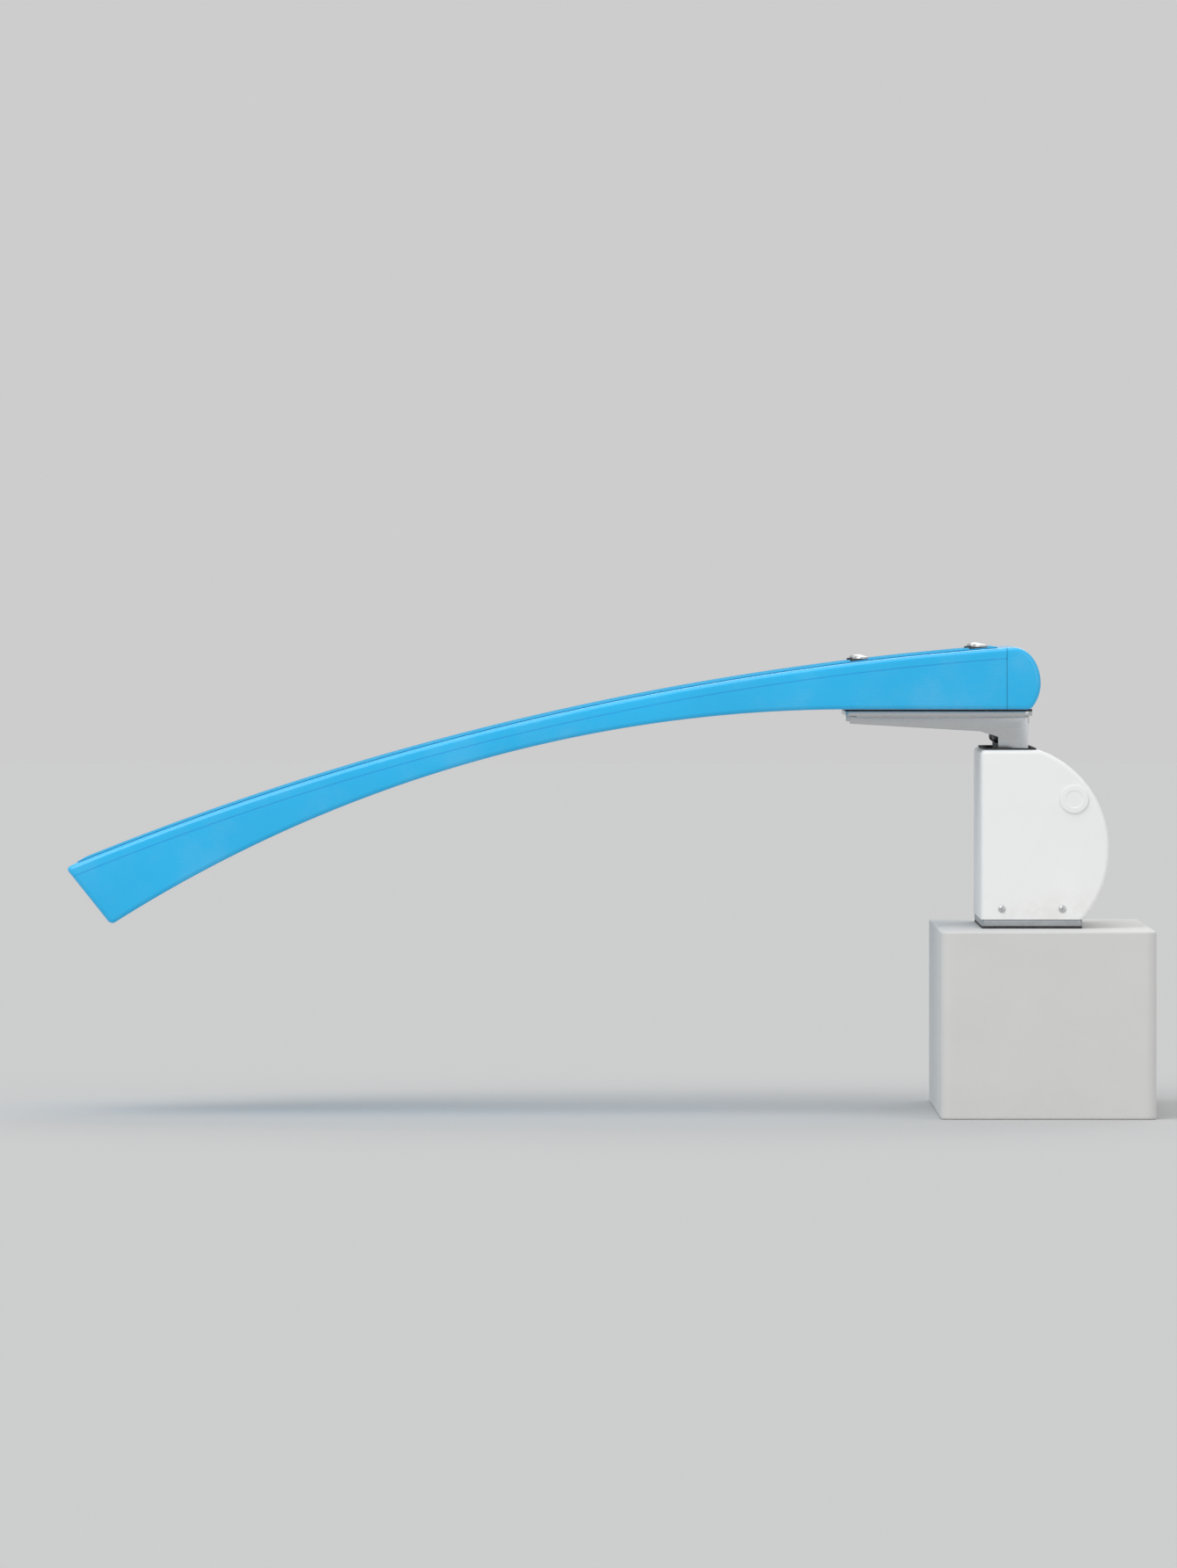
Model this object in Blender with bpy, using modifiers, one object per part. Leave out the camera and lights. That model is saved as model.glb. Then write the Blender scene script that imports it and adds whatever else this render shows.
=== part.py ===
"""A spring-mounted diving board on a moulded deck pedestal.

Metres, +Z up. The origin is on the deck, in the middle of the pedestal's four anchor bolts. The board
runs out over the water towards -X. Left and right are those of someone walking out along it, so left
is -Y. The board, its mounting plate and the two rocker arms swing about one pin inside the pedestal's
round back, on two coil springs under the board's rear end.
"""

import math

import bmesh
import bpy
from mathutils import Vector

# Clearances
GAP = 0.0003  # between faces that touch
RUNNING = 0.0004  # round a part that turns
SWING = 0.006  # between the arms' eyes and the pedestal's wall

# Board, seen from the side
BOARD_LENGTH = 1.829  # 6 ft along the deck
BOARD_WIDTH = 0.457  # 18 in
BOARD_REAR_X = 0.012
DECK_RADIUS = 5.60
DECK_APEX_X = 0.353  # the deck is level here, which is behind the board's rear end
DECK_APEX_RISE = 0.127  # from the flat mounting pad up to the deck's apex
PAD_FRONT_X = -0.336  # the flat pad ends here, and the belly's arc begins
BELLY_RADIUS = 2.50
TIP_RAKE = math.radians(16.4)
BOARD_WALL = 0.0045
BOARD_EDGE = 0.009
CAP_LENGTH = 0.062
CAP_SPIGOT = 0.022
CAP_SEAM = 0.0008  # between the board shell's rim and the cap
NOSE_DROP = 0.066  # from the deck down to the nose's rearmost point
NOSE_REACH = 0.050
HEEL_RADIUS = 0.012
HEEL_END = math.radians(-36.0)  # where the heel's arc gives way to the curve up to the nose

# Inside and on the board
STRINGER_WIDTH = 0.070
STRINGER_PITCH = 0.152
STRINGER_TIP_INSET = 0.022
STRINGER_BED = 0.0008  # the resin between a stringer and the shell
TREAD_THICKNESS = 0.0018
TREAD_INSET = 0.016
TREAD_FRONT_INSET = 0.024

# Pedestal shell: flat front and top, round back
PEDESTAL_HEIGHT = 0.308
PEDESTAL_WIDTH = 0.470
PEDESTAL_FRONT_X = -0.097
PEDESTAL_REAR_X = 0.137
TOP_LENGTH = 0.107
BACK_RADIUS = 0.192
BACK_TUCK = math.radians(50.0)  # the most the round back leans in before it drops straight down
SHELL_WALL = 0.005
SHELL_EDGE = 0.008

# Window in the shell's top, for the springs and arms
WINDOW_FRONT_LAND = 0.012
WINDOW_REAR_LAND = 0.010
WINDOW_SIDE_LAND = 0.045
WINDOW_CORNER = 0.012
TRIM_LIP = 0.002
TRIM_WIDTH = 0.007
TRIM_HEIGHT = 0.003

# Deck fixing
GASKET_THICKNESS = 0.004
BASE_PLATE_THICKNESS = 0.012
PLATE_INSET = 0.0015
ANCHOR_SPACING_X = 0.105
ANCHOR_SPACING_Y = 0.236
ANCHOR_RADIUS = 0.008
ANCHOR_HOLE_RADIUS = 0.009
ANCHOR_FLATS = 0.024
ANCHOR_HEAD = 0.010
ANCHOR_WASHER_RADIUS = 0.016
ANCHOR_WASHER = 0.003

# Frame inside the pedestal
CHEEK_THICKNESS = 0.008
CHEEK_Y = 0.154
CHEEK_EYE = 0.026
BULKHEAD_THICKNESS = 0.008
BULKHEAD_SETBACK = 0.013  # from the shell's front face
SHELF_THICKNESS = 0.010
SHELF_DROP = 0.093  # from the shell's top down to the shelf's top
SHELF_REACH = 0.045  # behind the springs
CROSS_TUBE_RADIUS = 0.021
CROSS_TUBE_WALL = 0.003
CROSS_TUBE_X = 0.026
CROSS_TUBE_Z = 0.112

# Hinge
HINGE_DROP = 0.089  # from the shell's top down to the pin
ARM_EYE = 0.024
PIN_RADIUS = 0.012
PIN_HEAD_RADIUS = 0.019
PIN_HEAD = 0.008
PIN_NUT_FLATS = 0.036
PIN_NUT = 0.012
PIN_TAIL = 0.003  # past its nut
BUSH_WALL = 0.004
BUSH_FLANGE = 0.002
PIN_HOLE_RADIUS = 0.022
PIN_CAP_RADIUS = 0.026
PIN_CAP_FACE = 0.003
PIN_CAP_PLUG = 0.007
TILT_DOWN = math.radians(6.0)
TILT_UP = math.radians(3.0)

# Rocker: the mounting plate and its arms
ROCKER_RISE = 0.062  # from the shell's top to the mounting plate
MOUNTING_THICKNESS = 0.008
MOUNTING_WIDTH = 0.380
MOUNTING_REAR_X = -0.002
MOUNTING_CORNER = 0.015
MOUNTING_LAP = 0.009  # past the front bolts' washers
PAD_THICKNESS = 0.0034
ARM_THICKNESS = 0.010
ARM_Y = 0.175
ARM_NOSE_DEPTH = 0.014
ARM_KNEE_DEPTH = 0.028
ARM_SETBACK = 0.008  # from the plate's ends

# Springs, their cups and the stops
SPRING_Y = 0.095
SPRING_SETBACK = 0.001  # behind the window's middle
SPRING_RADIUS = 0.025
WIRE_RADIUS = 0.007
SPRING_TURNS = 3.0  # working turns, between one closed turn at each end
CUP_FLOOR = 0.005
CUP_LIP = 0.010
CUP_WALL = 0.003
CUP_PLAY = 0.0015
POST_RADIUS = 0.009
STOP_RADIUS = 0.013
STOP_HEIGHT = 0.030
STUD_RADIUS = 0.008
STUD_FLANGE_RADIUS = 0.020
STUD_FLANGE = 0.004
STUD_HOLE_RADIUS = 0.0125
CUSHION_RADIUS = 0.019
CUSHION_HEIGHT = 0.014
STUD_NUT_FLATS = 0.024
STUD_NUT = 0.012

# Board bolts, through the board and the mounting plate
BOLT_RADIUS = 0.006
BOLT_PLAY = 0.0005
BOLT_Y = 0.152
BOLT_REAR_X = -0.098
BOLT_FRONT_X = -0.315
BOLT_HEAD_RADIUS = 0.0145
BOLT_HEAD = 0.0065
BOLT_TAIL = 0.012  # below the mounting plate
WASHER_RADIUS = 0.019
WASHER_THICKNESS = 0.004  # at its middle, above the board's skin
WASHER_BLANK = 0.006  # below the skin at its middle, before it is cut to the deck's slope
WEDGE_SIZE = 0.04  # of the block that cuts it
NUT_FLATS = 0.019
NUT_HEIGHT = 0.010

# Skirt screws
SCREW_RADIUS = 0.003
SCREW_PLAY = 0.0004
SCREW_HEAD_RADIUS = 0.0065
SCREW_HEAD = 0.0035
SCREW_HEIGHT = 0.019  # above the base plate
SCREW_SPACING = 0.110
SCREW_TAIL = 0.004
ANGLE_LEG = 0.032
ANGLE_FOOT = 0.024
ANGLE_THICKNESS = 0.004
ANGLE_LENGTH = 0.150

# Levels and lines that follow from the sizes above
BASE_PLATE_Z = GASKET_THICKNESS + GAP
FRAME_Z = BASE_PLATE_Z + BASE_PLATE_THICKNESS + GAP
SHELL_TOP_Z = FRAME_Z + PEDESTAL_HEIGHT
TOP_END_X = PEDESTAL_FRONT_X + TOP_LENGTH
BACK_X = PEDESTAL_REAR_X - BACK_RADIUS
BACK_Z = SHELL_TOP_Z - math.sqrt(BACK_RADIUS**2 - (TOP_END_X - BACK_X) ** 2)
WINDOW_FRONT_X = PEDESTAL_FRONT_X + WINDOW_FRONT_LAND
WINDOW_REAR_X = TOP_END_X - WINDOW_REAR_LAND
WINDOW_HALF_WIDTH = PEDESTAL_WIDTH / 2 - WINDOW_SIDE_LAND
HINGE_Z = SHELL_TOP_Z - HINGE_DROP
HINGE_X = BACK_X + math.sqrt(
    (BACK_RADIUS - SHELL_WALL - SWING - ARM_EYE) ** 2 - (HINGE_Z - BACK_Z) ** 2
)
HINGE = Vector((HINGE_X, HINGE_Z))
SPRING_X = (WINDOW_FRONT_X + WINDOW_REAR_X) / 2 + SPRING_SETBACK
SHELF_Z = SHELL_TOP_Z - SHELF_DROP
MOUNTING_Z = SHELL_TOP_Z + ROCKER_RISE
PAD_Z = MOUNTING_Z + MOUNTING_THICKNESS + GAP
BOARD_Z = PAD_Z + PAD_THICKNESS + GAP
MOUNTING_FRONT_X = BOLT_FRONT_X - WASHER_RADIUS - MOUNTING_LAP
CUP_RADIUS = SPRING_RADIUS + WIRE_RADIUS + CUP_PLAY + CUP_WALL
LOWER_SEAT_Z = SHELF_Z + GAP + CUP_FLOOR
UPPER_SEAT_Z = MOUNTING_Z - GAP - CUP_FLOOR
DECK_CENTRE = Vector((DECK_APEX_X, BOARD_Z + DECK_APEX_RISE - DECK_RADIUS))
BELLY_CENTRE = Vector((PAD_FRONT_X, BOARD_Z - BELLY_RADIUS))
CAP_JOINT_X = BOARD_REAR_X - CAP_LENGTH
REAR_ANGLE = math.asin((DECK_APEX_X - BOARD_REAR_X) / DECK_RADIUS)
TIP_ANGLE = REAR_ANGLE + BOARD_LENGTH / DECK_RADIUS
TIP = DECK_CENTRE + DECK_RADIUS * Vector((-math.sin(TIP_ANGLE), math.cos(TIP_ANGLE)))
TIP_CUT = Vector((math.sin(TIP_ANGLE + TIP_RAKE), -math.cos(TIP_ANGLE + TIP_RAKE)))
SIDES = (("left", -1), ("right", 1))

# How long the cutters are that drill the board, and the thin walls and sheets
LONG_DRILL = 0.5
SHORT_DRILL = 0.03

# Fineness of the curved shapes
ROUND = 20
SMALL_ROUND = 12
DECK_STEPS = 22
BELLY_STEPS = 18
BACK_STEPS = 18
COIL_STEPS = 14  # a turn
WELD = 1e-5

TURNS = {"Z": (0, 0, 0), "Y": (-math.pi / 2, 0, 0), "-Y": (math.pi / 2, 0, 0)}
PLANES = {
    "XY": ((0, 0, 0), 2),
    "XZ": ((math.pi / 2, 0, 0), 1),
    "YZ": ((math.pi / 2, 0, math.pi / 2), 0),
}
parts = None
cutters = None


def clear_scene():
    for obj in list(bpy.data.objects):
        bpy.data.objects.remove(obj)


def new_collection(name):
    collection = bpy.data.collections.new(name)
    bpy.context.scene.collection.children.link(collection)
    return collection


def make_materials():
    """One Principled material for each finish."""
    looks = {
        "gel_coat": ((0.008, 0.527, 0.965), 0.25, 0.0),
        "tread_grit": ((0.010, 0.470, 0.860), 0.85, 0.0),
        "moulded_white": ((0.930, 0.930, 0.930), 0.35, 0.0),
        "stainless": ((0.620, 0.630, 0.640), 0.30, 1.0),
        "galvanised": ((0.450, 0.470, 0.480), 0.50, 1.0),
        "spring_steel": ((0.060, 0.065, 0.070), 0.40, 0.0),
        "rubber": ((0.020, 0.020, 0.022), 0.80, 0.0),
        "nylon": ((0.780, 0.760, 0.700), 0.45, 0.0),
        "timber": ((0.480, 0.300, 0.150), 0.70, 0.0),
    }
    made = {}
    for name, (colour, roughness, metallic) in looks.items():
        material = bpy.data.materials.new(name)
        material.use_nodes = True
        shader = material.node_tree.nodes["Principled BSDF"]
        shader.inputs["Base Color"].default_value = (*colour, 1.0)
        shader.inputs["Roughness"].default_value = roughness
        shader.inputs["Metallic"].default_value = metallic
        made[name] = material
    return made


# Outlines


def arc(centre, radius, start, end, steps):
    """Points along an arc, its angles in radians from the first axis towards the second."""
    return [
        (
            centre[0] + radius * math.cos(start + (end - start) * i / steps),
            centre[1] + radius * math.sin(start + (end - start) * i / steps),
        )
        for i in range(steps + 1)
    ]


def circle(centre, radius, steps=ROUND):
    return arc(centre, radius, 0, 2 * math.pi, steps)[:-1]


def hexagon(centre, flats):
    return arc(centre, flats / math.sqrt(3), 0, 2 * math.pi, 6)[:-1]


def rounded_rectangle(low, high, radius, steps=5):
    """A rectangle between two opposite corners, its own corners rounded."""
    corners = (
        ((high[0] - radius, low[1] + radius), -math.pi / 2),
        ((high[0] - radius, high[1] - radius), 0),
        ((low[0] + radius, high[1] - radius), math.pi / 2),
        ((low[0] + radius, low[1] + radius), math.pi),
    )
    points = []
    for centre, start in corners:
        points += arc(centre, radius, start, start + math.pi / 2, steps)
    return points


def tangent_angle(point, centre, radius, side):
    """Where a line from the point touches the circle, as an angle on it; side is 1 or -1."""
    away = Vector(point) - Vector(centre)
    return math.atan2(away.y, away.x) + side * math.acos(radius / away.length)


def line_on_arc(point, direction, centre, radius):
    """The point nearest to `point` where its line meets the circle."""
    offset = point - centre
    half = offset.dot(direction)
    root = math.sqrt(half**2 - offset.length_squared + radius**2)
    step = min(-half - root, -half + root, key=abs)
    return point + direction * step


def angle_on(point, centre):
    return math.atan2(point[1] - centre[1], point[0] - centre[0])


def deck_angle(x, inset=0.0):
    """The angle on the deck's arc at x."""
    return math.acos((x - DECK_CENTRE.x) / (DECK_RADIUS - inset))


def deck_height(x):
    return DECK_CENTRE.y + math.sqrt(DECK_RADIUS**2 - (x - DECK_CENTRE.x) ** 2)


def board_outline(rear_x, inset=0.0, tip_inset=0.0):
    """The board's side outline from rear_x out to the tip and back, its faces moved in by the insets."""
    inwards = Vector((-TIP_CUT.y, TIP_CUT.x))
    cut = TIP + inwards * tip_inset
    top = line_on_arc(cut, TIP_CUT, DECK_CENTRE, DECK_RADIUS - inset)
    bottom = line_on_arc(cut, TIP_CUT, BELLY_CENTRE, BELLY_RADIUS + inset)
    deck = arc(
        DECK_CENTRE,
        DECK_RADIUS - inset,
        deck_angle(rear_x, inset),
        angle_on(top, DECK_CENTRE),
        DECK_STEPS,
    )
    belly = arc(
        BELLY_CENTRE,
        BELLY_RADIUS + inset,
        angle_on(bottom, BELLY_CENTRE),
        math.pi / 2,
        BELLY_STEPS,
    )
    return [*deck, *belly, (rear_x, BOARD_Z + inset)]


def nose_outline():
    """The rear cap's side outline: square at the joint, and a rounded nose behind it."""
    crown_x = BOARD_REAR_X - NOSE_REACH
    crown_z = deck_height(crown_x)
    tip_z = crown_z - NOSE_DROP
    steps = 9
    nose = [
        (
            crown_x + NOSE_REACH * math.sin(math.pi / 2 * i / steps),
            tip_z + NOSE_DROP * math.cos(math.pi / 2 * i / steps),
        )
        for i in range(steps + 1)
    ]
    heel_centre = (BOARD_REAR_X - 2 * HEEL_RADIUS, BOARD_Z + HEEL_RADIUS)
    heel = arc(heel_centre, HEEL_RADIUS, HEEL_END, -math.pi / 2, 3)
    upper, lower = Vector(nose[-1]), Vector(heel[0])
    # The two ends' tangents meet here, upright above the one and along the heel's arc from the other.
    bulge = Vector((upper.x, lower.y - (upper.x - lower.x) / math.tan(HEEL_END)))
    curve = [
        upper.lerp(bulge, share).lerp(bulge.lerp(lower, share), share)[:] for share in (0.33, 0.67)
    ]
    return [
        (CAP_JOINT_X + CAP_SEAM, deck_height(CAP_JOINT_X)),
        *nose,
        *curve,
        *heel,
        (CAP_JOINT_X + CAP_SEAM, BOARD_Z),
    ]


def pedestal_outline(inset=0.0):
    """The pedestal's side outline: flat front and top, round back, straight down where the back ends."""
    drop = min(math.sin(BACK_TUCK), (BACK_Z - FRAME_Z) / BACK_RADIUS)
    radius = BACK_RADIUS - inset
    top_z = SHELL_TOP_Z - inset
    start = math.asin((top_z - BACK_Z) / radius)
    back = arc((BACK_X, BACK_Z), radius, start, -math.asin(drop), BACK_STEPS)
    outline = [(PEDESTAL_FRONT_X + inset, FRAME_Z), (PEDESTAL_FRONT_X + inset, top_z), *back]
    if back[-1][1] > FRAME_Z + WELD:
        outline.append((back[-1][0], FRAME_Z))
    return outline


def back_foot_x():
    """Where the pedestal's round back meets the base plate."""
    return pedestal_outline()[-1][0]


def arm_outline():
    """A rocker arm: a rib under the mounting plate, a swan neck through the window and the pin's eye."""
    front_x = MOUNTING_FRONT_X + ARM_SETBACK
    top = MOUNTING_Z - GAP
    neck_rear_x = WINDOW_REAR_X - TRIM_LIP - ARM_SETBACK
    forward = (MOUNTING_Z - HINGE_Z) * math.sin(TILT_DOWN)
    neck_front_x = WINDOW_FRONT_X + TRIM_LIP + forward + SWING / 2
    down = (HINGE_X - neck_front_x) * math.sin(TILT_DOWN)
    neck_top = SHELL_TOP_Z + TRIM_HEIGHT + down + SWING
    elbow_z = SHELL_TOP_Z - SHELL_WALL - SWING
    front_elbow = (neck_front_x, elbow_z)
    rear_elbow = (neck_rear_x, elbow_z)
    low = tangent_angle(front_elbow, HINGE, ARM_EYE, 1)
    high = tangent_angle(rear_elbow, HINGE, ARM_EYE, -1)
    eye = arc(HINGE, ARM_EYE, low - 2 * math.pi, high - 2 * math.pi, 12)
    if low > high:
        eye = arc(HINGE, ARM_EYE, low - 2 * math.pi, high, 12)
    return [
        (neck_rear_x, top),
        (front_x, top),
        (front_x, top - ARM_NOSE_DEPTH),
        (PEDESTAL_FRONT_X, top - ARM_KNEE_DEPTH),
        (neck_front_x, min(neck_top, top - ARM_KNEE_DEPTH)),
        front_elbow,
        *eye,
        rear_elbow,
    ]


def cheek_outline():
    """A side frame: a foot on the base plate, the spring shelf's shoulder and the pin's eye."""
    front_x = PEDESTAL_FRONT_X + BULKHEAD_SETBACK
    rear_x = back_foot_x() - SHELL_WALL - SWING
    shoulder = (SPRING_X + SHELF_REACH, SHELF_Z)
    low = tangent_angle((rear_x, FRAME_Z), HINGE, CHEEK_EYE, 1)
    high = tangent_angle(shoulder, HINGE, CHEEK_EYE, -1)
    return [
        (front_x, FRAME_Z),
        (rear_x, FRAME_Z),
        *arc(HINGE, CHEEK_EYE, low, high % (2 * math.pi), 10),
        shoulder,
        (front_x, SHELF_Z),
    ]


# Makers


def place(name, data, material, location=(0, 0, 0), rotation=(0, 0, 0)):
    obj = bpy.data.objects.new(name, data)
    obj.location = location
    obj.rotation_euler = rotation
    data.materials.append(material)
    parts.objects.link(obj)
    return obj


def flat_part(name, loops, thickness, material, plane, middle):
    """A plate in a plane, cut to the first loop with the others as holes; middle is its place across."""
    curve = bpy.data.curves.new(name, "CURVE")
    curve.dimensions = "2D"
    curve.fill_mode = "BOTH"
    curve.extrude = thickness / 2
    for loop in loops:
        spline = curve.splines.new("POLY")
        spline.points.add(len(loop) - 1)
        for point, (u, v) in zip(spline.points, loop):
            point.co = (u, v, 0, 1)
        spline.use_cyclic_u = True
    rotation, across = PLANES[plane]
    location = [0.0, 0.0, 0.0]
    location[across] = middle
    return place(name, curve, material, location, rotation)


def turned(name, profile, material, location, axis="Z", steps=ROUND):
    """A solid of revolution from (radius, height) points, listed down its outer side."""
    mesh = bpy.data.meshes.new(name)
    points = [(radius, 0, height) for radius, height in profile]
    links = [(i, i + 1) for i in range(len(points) - 1)]
    closed = profile[0] == profile[-1]
    if closed:
        points.pop()
        links[-1] = (len(points) - 1, 0)
    mesh.from_pydata(points, links, [])
    obj = place(name, mesh, material, location, TURNS[axis])
    screw = obj.modifiers.new("turn", "SCREW")
    screw.steps = steps
    screw.render_steps = steps
    screw.use_merge_vertices = True
    screw.merge_threshold = WELD
    return obj


def tube_profile(outer, inner, low, high):
    return [(outer, high), (outer, low), (inner, low), (inner, high), (outer, high)]


def as_mesh(obj):
    """The object as a plain mesh: modifiers applied, loose caps welded, flat faces made whole."""
    bpy.context.view_layer.update()
    graph = bpy.context.evaluated_depsgraph_get()
    mesh = bpy.data.meshes.new_from_object(obj.evaluated_get(graph))
    work = bmesh.new()
    work.from_mesh(mesh)
    bmesh.ops.remove_doubles(work, verts=work.verts, dist=WELD)
    bmesh.ops.dissolve_limit(
        work, angle_limit=math.radians(0.05), verts=work.verts, edges=work.edges
    )
    work.to_mesh(mesh)
    work.free()
    name = obj.name
    matrix = obj.matrix_world.copy()
    holders = list(obj.users_collection)
    bpy.data.objects.remove(obj)
    made = bpy.data.objects.new(name, mesh)
    made.matrix_world = matrix
    for holder in holders:
        holder.objects.link(made)
    return made


def as_cutter(obj):
    """Moves a shape among the cutters, which aren't part of the board."""
    parts.objects.unlink(obj)
    cutters.objects.link(obj)
    obj.hide_render = True
    obj.display_type = "WIRE"
    return obj


def combine(obj, tool, operation):
    boolean = obj.modifiers.new(operation.lower(), "BOOLEAN")
    boolean.operation = operation
    boolean.object = as_cutter(tool)


def drill(obj, name, centre, radius, length, axis="Z"):
    """A round hole through the object, centred on a point."""
    profile = [(0, length / 2), (radius, length / 2), (radius, -length / 2), (0, -length / 2)]
    steps = ROUND if radius > 2 * BOLT_RADIUS else SMALL_ROUND
    tool = turned(name, profile, obj.data.materials[0], centre, axis, steps)
    combine(obj, tool, "DIFFERENCE")


def round_edges(obj, width, segments, spare):
    """Rounds the sharp edges, apart from those whose middle point `spare` picks."""
    work = bmesh.new()
    work.from_mesh(obj.data)
    weight = work.edges.layers.float.new("bevel_weight_edge")
    for edge in work.edges:
        middle = obj.matrix_world @ ((edge.verts[0].co + edge.verts[1].co) / 2)
        if edge.calc_face_angle(0) > math.radians(30) and not spare(middle):
            edge[weight] = 1.0
    work.to_mesh(obj.data)
    work.free()
    bevel = obj.modifiers.new("round", "BEVEL")
    bevel.limit_method = "WEIGHT"
    bevel.width = width
    bevel.segments = segments
    return as_mesh(obj)


def hollow(obj, wall, opening):
    """Makes the solid a shell with a wall inwards, open at the faces whose points `opening` picks."""
    work = bmesh.new()
    work.from_mesh(obj.data)
    gone = [
        face
        for face in work.faces
        if all(opening(obj.matrix_world @ corner.co) for corner in face.verts)
    ]
    bmesh.ops.delete(work, geom=gone, context="FACES")
    work.to_mesh(obj.data)
    work.free()
    solidify = obj.modifiers.new("wall", "SOLIDIFY")
    solidify.thickness = wall
    solidify.offset = -1
    solidify.use_even_offset = True


def bolt_places():
    """(number, x, y) of the four board bolts."""
    spots = [(x, side * BOLT_Y) for x in (BOLT_FRONT_X, BOLT_REAR_X) for _, side in SIDES]
    return [(number, x, y) for number, (x, y) in enumerate(spots, 1)]


# Board


def make_board_shell(looks):
    outline = board_outline(CAP_JOINT_X)
    shell = flat_part("board_shell", [outline], BOARD_WIDTH, looks["gel_coat"], "XZ", 0)
    shell = as_mesh(shell)

    def at_joint(point):
        return point.x > CAP_JOINT_X - WELD

    shell = round_edges(shell, BOARD_EDGE, 2, at_joint)
    hollow(shell, BOARD_WALL, at_joint)
    for number, x, y in bolt_places():
        drill(shell, f"shell_hole_{number}", (x, y, BOARD_Z), BOLT_RADIUS + BOLT_PLAY, LONG_DRILL)


def make_rear_cap(looks):
    """The board's rounded rear end, with a spigot that plugs the shell."""
    cap = flat_part("rear_cap", [nose_outline()], BOARD_WIDTH, looks["gel_coat"], "XZ", 0)
    cap = as_mesh(cap)
    cap = round_edges(cap, BOARD_EDGE, 2, lambda point: point.x < CAP_JOINT_X + CAP_SEAM + GAP)
    inset = BOARD_WALL + GAP
    low = BOARD_Z + inset
    front_x = CAP_JOINT_X - CAP_SPIGOT
    rear_x = CAP_JOINT_X + CAP_SPIGOT
    high = deck_height(front_x) - inset
    spigot = flat_part(
        "cap_spigot",
        [[(front_x, low), (rear_x, low), (rear_x, high), (front_x, high)]],
        BOARD_WIDTH - 2 * inset - 2 * BOARD_EDGE,
        looks["gel_coat"],
        "XZ",
        0,
    )
    combine(cap, as_mesh(spigot), "UNION")


def make_stringers(looks):
    """Three laminated timbers that run the length of the board."""
    rear_x = CAP_JOINT_X - CAP_SPIGOT - GAP
    outline = board_outline(rear_x, BOARD_WALL + STRINGER_BED, STRINGER_TIP_INSET)
    for name, side in (*SIDES, ("centre", 0)):
        stringer = flat_part(
            f"stringer_{name}",
            [outline],
            STRINGER_WIDTH,
            looks["timber"],
            "XZ",
            side * STRINGER_PITCH,
        )
        stringer = as_mesh(stringer)
        for number, x, y in bolt_places():
            if side * y > 0:
                hole = f"stringer_hole_{number}"
                drill(stringer, hole, (x, y, BOARD_Z), BOLT_RADIUS + BOLT_PLAY, LONG_DRILL)


def make_tread(looks):
    """The gritty sheet bonded to the deck, cut away round the bolts' washers."""
    rear = deck_angle(CAP_JOINT_X - TREAD_INSET)
    front = math.pi / 2 + TIP_ANGLE - TREAD_FRONT_INSET / DECK_RADIUS
    under = arc(DECK_CENTRE, DECK_RADIUS + GAP, rear, front, DECK_STEPS)
    over = arc(DECK_CENTRE, DECK_RADIUS + GAP + TREAD_THICKNESS, front, rear, DECK_STEPS)
    width = BOARD_WIDTH - 2 * TREAD_INSET
    tread = flat_part("tread", [[*under, *over]], width, looks["tread_grit"], "XZ", 0)
    tread = as_mesh(tread)
    for number, x, y in bolt_places():
        centre = (x, y, deck_height(x))
        drill(tread, f"tread_hole_{number}", centre, WASHER_RADIUS + 2 * BOLT_PLAY, SHORT_DRILL)


def make_board_bolts(looks):
    """Carriage bolts down through the board, each on a wedge washer that takes up the deck's slope."""
    for number, x, y in bolt_places():
        deck_z = deck_height(x)
        seat_z = deck_z + WASHER_THICKNESS
        slope = math.asin((DECK_APEX_X - x) / DECK_RADIUS)
        washer = turned(
            f"bolt_washer_{number}",
            tube_profile(WASHER_RADIUS, BOLT_RADIUS + BOLT_PLAY, deck_z - WASHER_BLANK, seat_z),
            looks["rubber"],
            (x, y, 0),
            steps=SMALL_ROUND,
        )
        under = flat_part(
            f"washer_wedge_{number}",
            [circle((0, 0), WEDGE_SIZE)],
            WEDGE_SIZE,
            looks["rubber"],
            "XY",
            0,
        )
        under.rotation_euler = (0, -slope, 0)
        down = Vector((math.sin(slope), 0, -math.cos(slope)))
        under.location = Vector((x, y, deck_z)) + down * (WEDGE_SIZE / 2 - GAP)
        combine(as_mesh(washer), as_mesh(under), "DIFFERENCE")
        dome = [
            (
                BOLT_HEAD_RADIUS * math.sin(math.pi / 2 * i / 4),
                seat_z + GAP + BOLT_HEAD * math.cos(math.pi / 2 * i / 4),
            )
            for i in range(5)
        ]
        turned(
            f"board_bolt_{number}",
            [
                *dome,
                (BOLT_RADIUS, seat_z + GAP),
                (BOLT_RADIUS, MOUNTING_Z - BOLT_TAIL),
                (0, MOUNTING_Z - BOLT_TAIL),
            ],
            looks["stainless"],
            (x, y, 0),
            steps=SMALL_ROUND,
        )
        flat_part(
            f"board_nut_{number}",
            [hexagon((x, y), NUT_FLATS), circle((x, y), BOLT_RADIUS + GAP, SMALL_ROUND)],
            NUT_HEIGHT,
            looks["stainless"],
            "XY",
            MOUNTING_Z - GAP - NUT_HEIGHT / 2,
        )


# Rocker


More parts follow.
